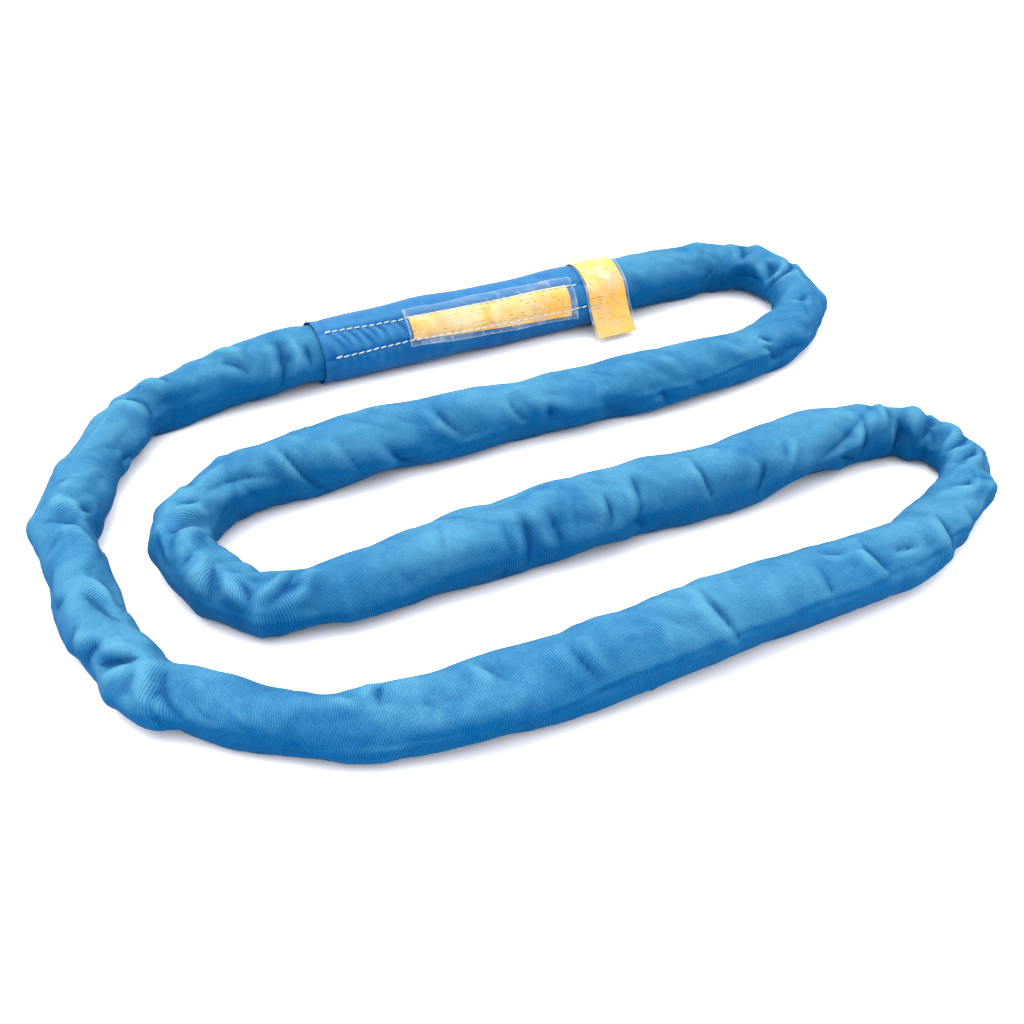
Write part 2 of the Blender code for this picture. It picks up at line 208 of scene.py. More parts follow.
# Broad hollows: (mm along, degrees round, mm reach along, degrees reach round, mm deep)
HOLLOWS = [
    (125, 92, 90, 60, 1.0), (380, -25, 34, 45, 5.0), (490, 168, 28, 25, 3.0), (640, 205, 12, 25, 2.0),
    (705, 208, 22, 30, 3.2), (800, 208, 12, 25, 2.2), (925, 195, 38, 40, 5.5), (1005, 0, 30, 40, 5.0),
    (1047, 108, 9, 20, 3.2), (1186, -32, 10, 22, 2.2), (1290, -18, 16, 30, 3.8), (1400, -38, 26, 26, 3.0),
    (1470, 118, 9, 25, 3.6), (1535, -12, 34, 45, 5.5), (1546, 142, 15, 20, 2.8), (1650, 52, 75, 38, 3.6),
    (1622, 212, 14, 24, 2.2), (1740, 208, 24, 25, 2.2), (1810, 48, 45, 28, 2.0), (2003, 52, 15, 30, 3.0),
    (2036, 52, 10, 25, 2.0), (2025, 200, 30, 35, 4.2), (2101, 48, 13, 30, 3.6), (2172, 36, 24, 26, 2.0),
    (2203, 162, 20, 25, 4.4), (2246, 12, 18, 25, 2.8), (2263, 128, 9, 20, 2.2), (2322, -2, 17, 25, 2.8),
    (2402, -6, 28, 40, 5.0),
]

# The one under the sleeve and the tag
SLEEVE_HOLLOW = HOLLOWS[0]

# Waists right round the tube: (mm along, mm reach along, mm deep). Below 0 is a bulge.
WAIST_SHARE = 0.55
WAIST_SLANT = 10 * MM
WAISTS = [
    (356, 7, 1.6), (397, 10, 2.6), (422, 12, -1.0), (521, 8, 1.2), (612, 8, 0.9),
    (693, 9, 1.4), (812, 9, 0.9), (876, 9, 1.2), (946, 12, -1.2), (971, 10, 3.0),
    (1006, 14, -1.2), (1030, 8, 1.4), (1048, 7, 2.2), (1201, 8, 1.6), (1256, 6, 0.9),
    (1323, 6, 0.9), (1448, 8, 1.4), (1477, 6, 1.6), (1500, 7, 2.8), (1538, 6, 1.8),
    (1562, 6, 1.4), (1590, 7, 1.4), (1631, 8, 1.4), (1686, 7, 1.2), (1790, 7, 1.0),
    (1868, 8, 0.8), (1974, 8, 1.4), (2085, 10, 2.2), (2114, 10, -1.4), (2134, 7, 1.6),
    (2160, 9, 1.8), (2198, 13, -2.0), (2222, 9, 1.0), (2245, 9, 3.4), (2272, 13, -1.6),
    (2300, 15, -0.8), (2345, 9, 1.2), (2387, 9, 2.8), (2418, 14, -1.2), (2495, 7, 1.8),
]

# Corners on the outer side of each bend, in mm along, with the fabric stretched flat between them.
# The flats are a little deeper than the chord of the bend's even outside.
FLAT_SHARE = 1.7
CORNERS = [
    (325, 364, 397, 432, 474), (858, 905, 948, 972, 1016, 1052, 1092), (1438, 1464, 1500, 1533, 1568, 1612),
    (2040, 2085, 2112, 2160, 2200, 2262, 2314, 2388, 2440),
]

# Random wrinkles: how many are scattered, and where the first may lie, in mm along
SMALL_WRINKLES = 150
FIRST_WRINKLE = 250.0

# Long soft lumps: (seed, number of waves, mm of the shortest, mm of the longest, mm high)
COVER_LUMPS = (11, 12, 55, 210, 0.42)
SLEEVE_LUMPS = (51, 12, 40, 160, 0.28)

# Soft rolls all over the cover: (mm high, seed, mm long, number round, mm slant)
ROLLS = [(2.2, 13, 40, 5, 30), (1.1, 14, 18, 7, 26)]
BEND_ROLLS = (1.5, 16, 15, 6, -14)
HARD_BEND = 0.25
VALLEY_ROUNDING = 0.0012
MEAN_ROLL = 0.4
DEEPEST_RELIEF = 7.5 * MM
HIGHEST_RELIEF = 5 * MM

# Where the cover's lengthwise lap seam runs: (mm along, degrees round)
SEAM_COURSE = [
    (222, 205), (430, 190), (515, 158), (560, 167), (615, 177), (700, 178), (790, 190),
    (900, 203), (1100, 210), (1400, 203), (1500, 180), (1568, 148), (1600, 157), (1630, 153),
    (1660, 158), (1780, 160), (1850, 168), (1960, 186), (2100, 205), (2545, 205),
]


# ---------------------------------------------------------------- the route

def catmull_rom(before, start, end, after, t):
    """Values on the smooth curve from start to end, at t from 0 to 1."""
    return 0.5 * (
        2 * start
        + (end - before) * t
        + (2 * before - 5 * start + 4 * end - after) * t ** 2
        + (3 * start - before - 3 * end + after) * t ** 3
    )


def smooth_route():
    """Closely spaced (x, y, girth) rows once round the sling."""
    points = np.array(ROUTE) * (MM, MM, 1)
    around = [np.roll(points, shift, axis=0)[:, None, :] for shift in (1, 0, -1, -2)]
    steps = (np.arange(SAMPLES_PER_POINT) / SAMPLES_PER_POINT)[None, :, None]
    line = catmull_rom(*around, steps).reshape(-1, 3)
    for _ in range(SMOOTHING_ROUNDS):
        line = (np.roll(line, 1, axis=0) + 2 * line + np.roll(line, -1, axis=0)) / 4
    return np.vstack([line, line[:1]])


LINE = smooth_route()
STEPS = np.linalg.norm(np.diff(LINE[:, :2], axis=0), axis=1)
DISTANCES = np.concatenate([[0.0], np.cumsum(STEPS)])
LENGTH = DISTANCES[-1]


def on_line(distance):
    """x, y and girth at distances along the sling."""
    wrapped = np.mod(distance, LENGTH)
    return [np.interp(wrapped, DISTANCES, LINE[:, k]) for k in range(3)]


def direction(distance):
    """The unit vector along the sling, as x and y arrays."""
    reach = 2 * MM
    ahead, behind = on_line(distance + reach), on_line(distance - reach)
    dx, dy = ahead[0] - behind[0], ahead[1] - behind[1]
    size = np.hypot(dx, dy)
    return dx / size, dy / size


def turning(distance):
    """How fast the sling turns, in radians per metre, above 0 towards its angle 0 side."""
    reach = 8 * MM
    ax, ay = direction(distance - reach)
    bx, by = direction(distance + reach)
    return -np.arcsin(np.clip(ax * by - ay * bx, -1, 1)) / (2 * reach)


def lift(distance):
    """How far the joint sleeve under it raises the cover from the ground."""
    middle = sum(SLEEVE) / 2
    from_middle = np.abs(np.mod(distance - middle + LENGTH / 2, LENGTH) - LENGTH / 2)
    outside = from_middle - (SLEEVE[1] - SLEEVE[0]) / 2
    return SLEEVE_TOP * np.clip(1 - (outside - MAX_STEP) / LIFT_RAMP, 0, 1)


def on_section(distance, degrees, height):
    """Points at a height above the cover's even outside, as an array with x, y, z last."""
    distance, degrees, height = np.broadcast_arrays(distance, degrees, height)
    x, y, girth = on_line(distance)
    dx, dy = direction(distance)
    angle = np.radians(degrees)
    across = (HALF_WIDTH * girth + height) * np.cos(angle)
    ground = lift(distance)
    up = ground + SETTLED * HALF_HEIGHT * girth + (HALF_HEIGHT * girth + height) * np.sin(angle)
    resting = np.maximum(ground - np.clip(height, 0, SLEEVE_TOP), 0)
    return np.stack([x + dy * across, y - dx * across, soft_floor(up, resting)], axis=-1)


def soft_floor(up, floor):
    """Heights kept above the floor, with a rounded edge where the fabric settles on it."""
    rounding = 1.6 * MM
    above = up - floor
    return floor + 0.5 * (above + np.sqrt(above ** 2 + rounding ** 2))


# ---------------------------------------------------------------- folds and lumps

def eased(share):
    """A smooth step from 0 to 1."""
    share = np.clip(share, 0, 1)
    return share * share * (3 - 2 * share)


def turn_between(degrees, other):
    """Signed angles from other to degrees, within half a turn."""
    return np.mod(degrees - other + 180, 360) - 180


def crease(across, width):
    """A sharp narrow valley in a shallow dip: a steep wall and a roll on one side of it."""
    reach = np.where(across < 0, 0.32 * width, 0.6 * width)
    valley = 0.62 * np.exp(-np.abs(across) / reach)
    dip = 0.34 * np.exp(-((across - 0.9 * width) / (1.9 * width)) ** 2)
    roll = 0.34 * np.exp(-((across + 1.8 * width) / (1.1 * width)) ** 2)
    return roll - dip - valley


def ridge(across, width):
    """A rounded ridge, 1 high, across its middle line."""
    return np.exp(-(across / width) ** 2)


def add_fold(relief, distance, degrees, fold):
    """Adds one fold to the relief of a grid of distances (rows) and angles (columns)."""
    start, from_angle, end, to_angle, bow, width, depth = fold
    reach = 5 * width + abs(bow)
    low = np.searchsorted(distance, (min(start, end) - reach) * MM)
    high = np.searchsorted(distance, (max(start, end) + reach) * MM)
    if high <= low:
        return
    radius = BODY_DIAMETER / 2 / MM
    middle_angle = (from_angle + to_angle) / 2
    x = distance[low:high, None] / MM - start
    y = np.radians(turn_between(degrees[None, :], middle_angle)) * radius
    y = y - math.radians(from_angle - middle_angle) * radius
    step = np.array([end - start, math.radians(to_angle - from_angle) * radius])
    length = np.hypot(*step)
    along = (x * step[0] + y * step[1]) / length ** 2
    bowed = bow * np.clip(4 * along * (1 - along), 0, 1)
    facing = np.sign(direction(start * MM)[0])
    across = ((x * step[1] - y * step[0]) / length * np.sign(step[1]) - bowed) * facing
    strength = np.sin(math.pi * np.clip(along, 0, 1)) ** FOLD_TAPER
    shape = crease(across, width) if depth > 0 else ridge(across, width)
    relief[low:high] += strength * shape * abs(depth) * MM


def hollow_depth(distance, degrees, hollow):
    """How deep one broad hollow is at distances and angles."""
    start, angle, reach, spread, depth = hollow
    along = (distance / MM - start) / reach
    around = turn_between(degrees, angle) / spread
    return depth * MM * np.exp(-along ** 2 - around ** 2)


def lumps(distance, degrees, kind):
    """Soft random unevenness, as a sum of waves that close up round the section."""
    seed, waves, shortest, longest, size = kind
    rng = np.random.default_rng(seed)
    total = np.zeros((len(distance), len(degrees)))
    for _ in range(waves):
        wave = rng.uniform(shortest * MM, longest * MM)
        turns = rng.integers(1, 4) * rng.choice([-1, 1])
        phase = rng.uniform(0, 2 * math.pi)
        height = size * MM * math.sqrt(wave / (longest * MM))
        slope = 2 * math.pi * distance[:, None] / wave + turns * np.radians(degrees[None, :])
        total += height * np.cos(slope + phase)
    return total


def slanted(distance, degrees, slant):
    """Distances shifted round the section, so that what follows them slants like the weave."""
    return distance[:, None] - slant * np.cos(np.radians(degrees[None, :]))


def puffs(distance, degrees, seed, cell, cells_round, slant):
    """Smooth noise from -1 to 1 that closes up round the section and slants along it."""
    rng = np.random.default_rng(seed)
    place = slanted(distance, degrees, slant) / cell
    row = np.floor(place).astype(int)
    turn = np.mod(degrees, 360) / 360 * cells_round
    column = np.floor(turn).astype(int)
    values = rng.uniform(-1, 1, (row.max() + 3, cells_round))
    s = eased(place - row)
    t = eased(turn - column)[None, :]
    column = np.broadcast_to(column[None, :], row.shape) % cells_round
    beside = (column + 1) % cells_round
    near = values[row, column] * (1 - t) + values[row, beside] * t
    far = values[row + 1, column] * (1 - t) + values[row + 1, beside] * t
    return near * (1 - s) + far * s


def drapery(distance, degrees, rolls):
    """Soft rolls between sharp valleys, about 0 on average."""
    height, seed, cell, cells_round, slant = rolls
    noise = puffs(distance, degrees, seed, cell * MM, cells_round, slant * MM)
    return height * MM * (np.sqrt(noise * noise + VALLEY_ROUNDING) - MEAN_ROLL)


def add_waist(relief, distance, degrees, waist):
    """Adds one waist, with the fabric swelling a little on both sides of it."""
    start, reach, depth = waist
    across = (slanted(distance, degrees, WAIST_SLANT) / MM - start) / reach
    shape = -np.exp(-np.abs(across) ** 1.5) + 0.15 * np.exp(-((np.abs(across) - 2.2) / 1.1) ** 2)
    relief += WAIST_SHARE * depth * MM * shape


def add_flats(relief, distance, degrees, corners):
    """Flattens the outer side of a bend between its corners."""
    for start, end in zip(corners[:-1], corners[1:]):
        share = (distance / MM - start) / (end - start)
        rate = float(turning(np.array([(start + end) / 2 * MM]))[0])
        outer_side = 180 if rate > 0 else 0
        sag = FLAT_SHARE * abs(rate) * ((end - start) * MM) ** 2 / 8
        facing = np.clip(np.cos(np.radians(degrees - outer_side)), 0, 1) ** 0.7
        inside = (share > 0) & (share <= 1)
        shape = np.where(inside, 4 * share * (1 - share), 0)
        relief -= sag * shape[:, None] * facing[None, :]


def small_wrinkles():
    """Short slanting wrinkles scattered over the whole cover, as folds."""
    rng = np.random.default_rng(WRINKLE_SEED)
    found = []
    for _ in range(SMALL_WRINKLES):
        start = rng.uniform(FIRST_WRINKLE, LENGTH / MM - 8)
        angle = rng.uniform(-60, 250)
        spread = rng.uniform(35, 100)
        slant = rng.uniform(-14, 26) * (1 if angle > 90 else -0.6)
        width = rng.uniform(1.7, 3.2)
        depth = rng.uniform(0.3, 0.9) * rng.choice([1, 1, -1])
        bow = rng.uniform(-3, 5)
        found.append((start, angle + spread / 2, start + slant, angle - spread / 2, bow, width, depth))
    return found


def bend_wrinkles():
    """Pinched folds on the inner side of every bend, deeper where the sling turns harder."""
    rng = np.random.default_rng(BEND_SEED)
    found = []
    start = FIRST_WRINKLE
    while start < LENGTH / MM - 20:
        start += rng.uniform(14, 26)
        rate = float(turning(np.array([start * MM]))[0]) * BODY_DIAMETER / 2
        middle = 0 if rate > 0 else 180
        side = 1 if rate > 0 else -1
        depth = min(abs(rate), 0.6) * rng.uniform(2.2, 4.0)
        if depth > 0.5:
            low = middle - side * rng.uniform(60, 85)
            high = middle + side * rng.uniform(15, 50)
            slant = rng.uniform(-7, 7)
            found.append((start, high, start + slant, low, 0, rng.uniform(3, 4.6), depth))
    return found


def seam_angle(distance):
    """The angle of the cover's lap seam at distances along the sling."""
    course = np.array(SEAM_COURSE)
    drift = 1.6 * np.sin(distance / (9 * MM)) + 1.2 * np.sin(distance / (23 * MM) + 1)
    return np.interp(distance / MM, course[:, 0], course[:, 1]) + drift


def lap_step(distance, degrees):
    """The raised upper layer of the lap seam, and the pull of its stitches."""
    past = turn_between(degrees[None, :], seam_angle(distance)[:, None])
    layer = 0.5 * MM * eased((past + 16) / 14) * eased((3 - past) / 4)
    pull = 0.4 * MM * np.exp(-((past - 4) / 5) ** 2)
    gather = 0.8 + 0.4 * np.sin(distance / (4.1 * MM) + 2 * np.sin(distance / (31 * MM)))
    return layer - pull * gather[:, None]


def outside_sleeve(distance):
    """0 under the joint sleeve and 1 a little way outside it."""
    return eased((distance - SLEEVE[1]) / (14 * MM)) * eased((LENGTH - distance) / (12 * MM))


def squeezed(relief):
    """Relief with its deepest valleys and highest rolls eased off, as the core fills the tube."""
    limit = np.where(relief < 0, DEEPEST_RELIEF, HIGHEST_RELIEF)
    return limit * np.tanh(relief / limit)


def cover_relief(distance, degrees):
    """Height of the cover above its even outside, for distances (rows) and angles (columns)."""
    loose = lumps(distance, degrees, COVER_LUMPS)
    for rolls in ROLLS:
        loose += drapery(distance, degrees, rolls)
    bent = np.clip(np.abs(turning(distance)) * BODY_DIAMETER / 2 / HARD_BEND, 0, 1)[:, None]
    loose += bent * drapery(distance, degrees, BEND_ROLLS)
    for fold in small_wrinkles() + bend_wrinkles():
        add_fold(loose, distance, degrees, fold)
    for fold in FOLDS:
        stronger = fold[:5] + (fold[5] * FOLD_WIDENING, fold[6] * FOLD_DEEPENING)
        add_fold(loose, distance, degrees, stronger)
    for waist in WAISTS:
        add_waist(loose, distance, degrees, waist)
    for corners in CORNERS:
        add_flats(loose, distance, degrees, corners)
    loose += lap_step(distance, degrees)
    loose *= outside_sleeve(distance)[:, None]
    add_all_hollows(loose, distance, degrees)
    under = COVER_UNDER_SLEEVE * (1 - outside_sleeve(distance))
    return squeezed(loose) - under[:, None]


def add_all_hollows(relief, distance, degrees):
    """Adds the broad hollows, each also one length further on for the end under the sleeve."""
    for hollow in HOLLOWS:
        relief -= hollow_depth(distance[:, None], degrees[None, :], hollow)
        further = (hollow[0] + LENGTH / MM,) + hollow[1:]
        relief -= hollow_depth(distance[:, None], degrees[None, :], further)


def row_angle(row, distance):
    """The angle of a stitch row at distances along the sleeve."""
    course = np.array(row)
    return np.interp(distance / MM, course[:, 0], course[:, 1])


def sleeve_puckers():
    """Slanting puckers between the stitch rows and above and below them, as folds."""
    rng = np.random.default_rng(PUCKER_SEED)
    found = []
    for start in np.arange(6, 62, 7.0):
        lean = rng.uniform(7, 12)
        depth = rng.uniform(1.6, 2.8)
        found.append((start, 64, start + lean, rng.uniform(14, 30), 1, rng.uniform(2.2, 3.0), depth))
        found.append((start + 3.5, 66, start + 3.5 + lean, 16, 1, 2.2, -0.8))
        found.append((start + 3, 14, start + 6, rng.uniform(-26, -8), 0, 2.2, depth * 0.3))
    for start in rng.uniform(8, 205, 12):
        found.append((start, 70, start - rng.uniform(0, 6), rng.uniform(90, 112), 0, 3.6, 0.6))
    for start in rng.uniform(70, 205, 7):
        found.append((start, -6, start + rng.uniform(0, 6), rng.uniform(-50, -25), 0, 3.2, 0.8))
    return found


def sleeve_relief(distance, degrees):
    """Height of the sleeve's outside above the cover's even outside."""
    relief = lumps(distance, degrees, SLEEVE_LUMPS)
    for fold in sleeve_puckers():
        add_fold(relief, distance, degrees, fold)
    for row in (UPPER_ROW, LOWER_ROW):
        past = turn_between(degrees[None, :], row_angle(row, distance)[:, None])
        relief -= 0.8 * MM * np.exp(-(past / 5.5) ** 2)
    add_all_hollows(relief, distance, degrees)
    free_edge = 0.4 * MM * np.exp(-(distance - SLEEVE[0]) / (5 * MM))
    cinched = 0.6 * MM * np.exp(-((distance - 7 * MM) / (3.5 * MM)) ** 2)
    return relief + SLEEVE_TOP + (free_edge - cinched)[:, None]


def on_sleeve(distance, degrees, height):
    """Points at a height above the sleeve's outside. One angle for each distance, or a grid."""
    distance, degrees = np.broadcast_arrays(distance, degrees)
    rows = np.unique(np.round(distance, 6))
    step = 1.5
    fine = np.arange(-180, 181, step)
    table = sleeve_relief(rows, fine)
    row = np.searchsorted(rows, np.round(distance, 6))
    place = (turn_between(degrees, 0) + 180) / step
    low = np.clip(np.floor(place).astype(int), 0, len(fine) - 2)
    share = place - low
    relief = table[row, low] * (1 - share) + table[row, low + 1] * share
    return on_section(distance, degrees, relief + height)


# ---------------------------------------------------------------- meshes

def new_object(name, vertices, faces, uvs, look):
    """A smooth mesh object. uvs has one (u, v) for each corner of each face."""
    mesh = bpy.data.meshes.new(name)
    faces = np.asarray(faces, dtype=np.int32)
    mesh.vertices.add(len(vertices))
    mesh.vertices.foreach_set("co", np.asarray(vertices, dtype=np.float32).ravel())
    mesh.loops.add(faces.size)
    mesh.loops.foreach_set("vertex_index", faces.ravel())
    mesh.polygons.add(len(faces))
    mesh.polygons.foreach_set("loop_start", np.arange(0, faces.size, 4, dtype=np.int32))
    mesh.polygons.foreach_set("use_smooth", np.ones(len(faces), dtype=bool))
    layer = mesh.uv_layers.new(name="fabric")
    layer.data.foreach_set("uv", np.asarray(uvs, dtype=np.float32).ravel())
    mesh.update(calc_edges=True)
    mesh.validate()
    mesh.materials.append(look)
    thing = bpy.data.objects.new(name, mesh)
    bpy.context.scene.collection.objects.link(thing)
    return thing


def grid_faces(rows, columns, closed_rows=False, closed_columns=False):
    """Quads of a grid as vertex numbers, and each corner's unwrapped row and column for its uvs."""
    last_row = rows if closed_rows else rows - 1
    last_column = columns if closed_columns else columns - 1
    row, column = np.meshgrid(np.arange(last_row), np.arange(last_column), indexing="ij")
    corners = [(row, column), (row + 1, column), (row + 1, column + 1), (row, column + 1)]
    corner_rows = np.stack([c[0].ravel() for c in corners], axis=-1)
    corner_columns = np.stack([c[1].ravel() for c in corners], axis=-1)
    faces = (corner_rows % rows) * columns + corner_columns % columns
    return faces, corner_rows, corner_columns


def tube_object(name, points, along, around, look):
    """A tube from rings of points. along and around give its uvs in metres."""
    rows, columns = points.shape[:2]
    faces, corner_rows, corner_columns = grid_faces(rows, columns, closed_columns=True)
    u = along[corner_rows]
    v = around[corner_columns]
    return new_object(name, points.reshape(-1, 3), faces, np.stack([u, v], axis=-1), look)


def sheet_object(name, points, thickness, along, around, look):
    """A closed thin sheet from a grid of points on its underside."""
    rows, columns = points.shape[:2]
    by_row = np.gradient(points, axis=0)
    by_column = np.gradient(points, axis=1)
    normal = np.cross(by_row, by_column)
    normal /= np.linalg.norm(normal, axis=-1, keepdims=True)
    vertices = np.concatenate([points.reshape(-1, 3), (points + normal * thickness).reshape(-1, 3)])
    faces = grid_faces(rows, columns)[0]
    count = rows * columns
    edge = np.concatenate([
        np.arange(columns),
        np.arange(1, rows) * columns + columns - 1,
        (rows - 1) * columns + np.arange(columns - 2, -1, -1),
        np.arange(rows - 2, 0, -1) * columns,
    ])
    following = np.roll(edge, -1)
    rim = np.stack([edge, following, following + count, edge + count], axis=-1)
    every = np.concatenate([faces[:, ::-1], faces + count, rim[:, ::-1]])
    u = np.tile(np.broadcast_to(along, (rows, columns)).ravel(), 2)
    v = np.tile(np.broadcast_to(around, (rows, columns)).ravel(), 2)
    uvs = np.stack([u[every], v[every]], axis=-1)
    return new_object(name, vertices, every, uvs, look)


def add_value(thing, name, values):
    """A named value at each vertex, which the material reads."""
    attribute = thing.data.attributes.new(name, "FLOAT", "POINT")
    attribute.data.foreach_set("value", np.asarray(values, dtype=np.float32).ravel())


# ---------------------------------------------------------------- materials

POLYESTER_SHEEN = (0.45, 0.80, 1.0, 1)
# Pale blue of the painted highlights on the sleeve
HIGHLIGHT_BLUE = (0.045, 0.165, 0.29, 1)


class Recipe:
    """A material under construction: adds nodes and links them by short calls."""

    def __init__(self, name):
        self.material = bpy.data.materials.new(name)
        self.material.use_nodes = True
        self.tree = self.material.node_tree
        self.shader = next(n for n in self.tree.nodes if n.type == "BSDF_PRINCIPLED")

    def node(self, kind, values=None, **settings):
        """A new node with its settings and input values or links."""
        made = self.tree.nodes.new(kind)
        for key, value in settings.items():
            setattr(made, key, value)
        for key, value in (values or {}).items():
            self.feed(made.inputs[key], value)
        return made

    def feed(self, socket, value):
        """Links a socket to another, or sets its value."""
        if isinstance(value, bpy.types.NodeSocket):
            self.tree.links.new(value, socket)
        else:
            socket.default_value = value

    def math(self, operation, *values):
        """The result of a Math node."""
        made = self.node("ShaderNodeMath", dict(enumerate(values)), operation=operation)
        return made.outputs[0]

    def noise(self, vector, scale, detail=3.0, roughness=0.55, distortion=0.0):
        """A noise from 0 to 1."""
        made = self.node("ShaderNodeTexNoise", {
            "Vector": vector, "Scale": scale, "Detail": detail,
            "Roughness": roughness, "Distortion": distortion,
        })
        return made.outputs["Fac"]

    def between(self, value, low, high):
        """The value spread from low-high to 0-1 and kept inside."""
        made = self.node("ShaderNodeMapRange", {"Value": value, "From Min": low, "From Max": high})
        return made.outputs["Result"]

    def blend(self, share, first, second):
        """A colour from first to second by share."""
        made = self.node("ShaderNodeMix", {"Factor": share}, data_type="RGBA")
        colours = [s for s in made.inputs if s.type == "RGBA"]
        self.feed(colours[0], first)
        self.feed(colours[1], second)
        return next(s for s in made.outputs if s.type == "RGBA")

    def bump(self, height, strength, distance, normal=None):
        """A bumped normal from a height field."""
        values = {"Height": height, "Strength": strength, "Distance": distance}
        if normal is not None:
            values["Normal"] = normal
        return self.node("ShaderNodeBump", values).outputs["Normal"]

    def fabric_place(self):
        """Separate u (metres along) and v (metres round) outputs, and the place in the object."""
        uv = self.node("ShaderNodeUVMap", uv_map="fabric").outputs["UV"]
        parts = self.node("ShaderNodeSeparateXYZ", {"Vector": uv})
        return parts.outputs["X"], parts.outputs["Y"], self.object_place()

    def object_place(self):
        """The place in the object."""
        return self.node("ShaderNodeTexCoord").outputs["Object"]

    def value_of(self, name):
        """A named value that the mesh carries at its vertices."""
        return self.node("ShaderNodeAttribute", attribute_name=name).outputs["Fac"]

    def finish(self, **values):
        """Sets the shader's inputs and returns the material."""
        for key, value in values.items():
            self.feed(self.shader.inputs[key.replace("_", " ")], value)
        return self.material


def thread_wave(recipe, value, pitch):
    """A wave from 0 to 1 with one crest every pitch metres."""
    phase = recipe.math("MULTIPLY", value, 2 * math.pi / pitch)
    swing = recipe.math("SINE", phase)
    return recipe.math("MULTIPLY_ADD", swing, 0.5, 0.5)


def facing_up_highlight(recipe, low, high):
    """0 to 1 as the surface turns to face up: the share of a painted highlight of the light from above."""
    normal = recipe.node("ShaderNodeNewGeometry").outputs["Normal"]
    parts = recipe.node("ShaderNodeSeparateXYZ", {"Vector": normal})
    return recipe.between(parts.outputs["Z"], low, high)


def wrinkle_height(recipe, u, v):
    """Crisp shallow wrinkles that run slantwise round the tube, 0 in their valleys."""
    place = recipe.node("ShaderNodeCombineXYZ", {
        "X": recipe.math("MULTIPLY_ADD", v, 24.0, recipe.math("MULTIPLY", u, 48.0)),
        "Y": recipe.math("MULTIPLY_ADD", u, -6.0, recipe.math("MULTIPLY", v, 16.0)),
    }).outputs[0]
    wave = recipe.noise(place, 1.0, 3, 0.5, 0.7)
    valley = recipe.math("ABSOLUTE", recipe.math("SUBTRACT", wave, 0.5))
    return recipe.math("POWER", recipe.math("MULTIPLY", valley, 2.0), 1.2)


def woven_cover_look():
    """Ribbed blue polyester: fine ribs round the tube, random pale patches of wear, painted highlights on
    tops and ridges, painted shade in valleys.
    """
    recipe = Recipe("woven_cover")
    u, v, place = recipe.fabric_place()
    wander = recipe.noise(place, 16, 2)
    wandering = recipe.math("MULTIPLY_ADD", wander, 0.009, u)
    slanted_u = recipe.math("MULTIPLY_ADD", v, 0.16, wandering)
    ribs = thread_wave(recipe, slanted_u, 1.2 * MM)
    picks = thread_wave(recipe, recipe.math("MULTIPLY_ADD", wander, 0.006, v), 1.1 * MM)
    weave = recipe.math("MULTIPLY_ADD", picks, 0.35, ribs)
    fuzz = recipe.noise(place, 900, 2, 0.7)
    patches = recipe.between(recipe.noise(place, 17, 5, 0.66, 0.4), 0.42, 0.64)
    streaks = recipe.between(recipe.noise(place, 52, 5, 0.7, 0.8), 0.42, 0.70)
    # Painted highlight on the ridges of the folds and painted shade in their valleys, from the crest value
    crest = recipe.value_of("crest")
    high = recipe.between(crest, 0.1, 2.0)
    low = recipe.between(crest, -0.3, -2.6)
    # Painted highlight: surfaces that face up are paled, where the light from above falls
    top_highlight = facing_up_highlight(recipe, 0.05, 0.95)
    deep_blue = (0.0, 0.015, 0.075, 1)
    rib_blue = (0.0, 0.094, 0.262, 1)
    # Pale blue for both the wear and the painted highlights
    wear_and_highlight_blue = (0.062, 0.215, 0.325, 1)
    grain = recipe.math("MULTIPLY_ADD", fuzz, 0.7, recipe.math("MULTIPLY_ADD", picks, 0.2, -0.42))
    tone = recipe.math("ADD", recipe.math("MULTIPLY_ADD", ribs, 0.60, 0.36), grain)
    colour = recipe.blend(tone, deep_blue, rib_blue)
    # Random patches and streaks of wear, then painted highlights on ridges and on surfaces that face up
    wear_and_highlight = recipe.math("MULTIPLY_ADD", patches, 0.36, recipe.math("MULTIPLY", streaks, 0.16))
    wear_and_highlight = recipe.math("MULTIPLY_ADD", high, 0.36, wear_and_highlight)
    wear_and_highlight = recipe.math("MULTIPLY", wear_and_highlight, recipe.math("MULTIPLY_ADD", top_highlight, 0.85, 0.15))
    wear_and_highlight = recipe.math("MULTIPLY_ADD", top_highlight, 0.30, wear_and_highlight)
    wear_and_highlight = recipe.math("MULTIPLY", wear_and_highlight, recipe.math("MULTIPLY_ADD", tone, 0.9, 0.4))
    colour = recipe.blend(wear_and_highlight, colour, wear_and_highlight_blue)
    # Painted shade: the valleys of the folds are darkened to deep blue
    colour = recipe.blend(recipe.math("MULTIPLY", low, 0.7), colour, (0.0, 0.032, 0.13, 1))
    crumple = recipe.noise(place, 85, 4, 0.6, 0.6)
    normal = recipe.bump(crumple, 0.4, 1.5 * MM)
    normal = recipe.bump(wrinkle_height(recipe, u, v), 0.7, 2.6 * MM, normal)
    normal = recipe.bump(weave, 0.9, 0.30 * MM, normal)
    normal = recipe.bump(fuzz, 0.3, 0.15 * MM, normal)
    rough = recipe.math("MULTIPLY_ADD", patches, 0.10, 0.70)
    return recipe.finish(
        Base_Color=colour, Roughness=rough, Normal=normal,
        Specular_IOR_Level=0.02, Sheen_Weight=0.02, Sheen_Roughness=0.35,
        Sheen_Tint=POLYESTER_SHEEN,
    )


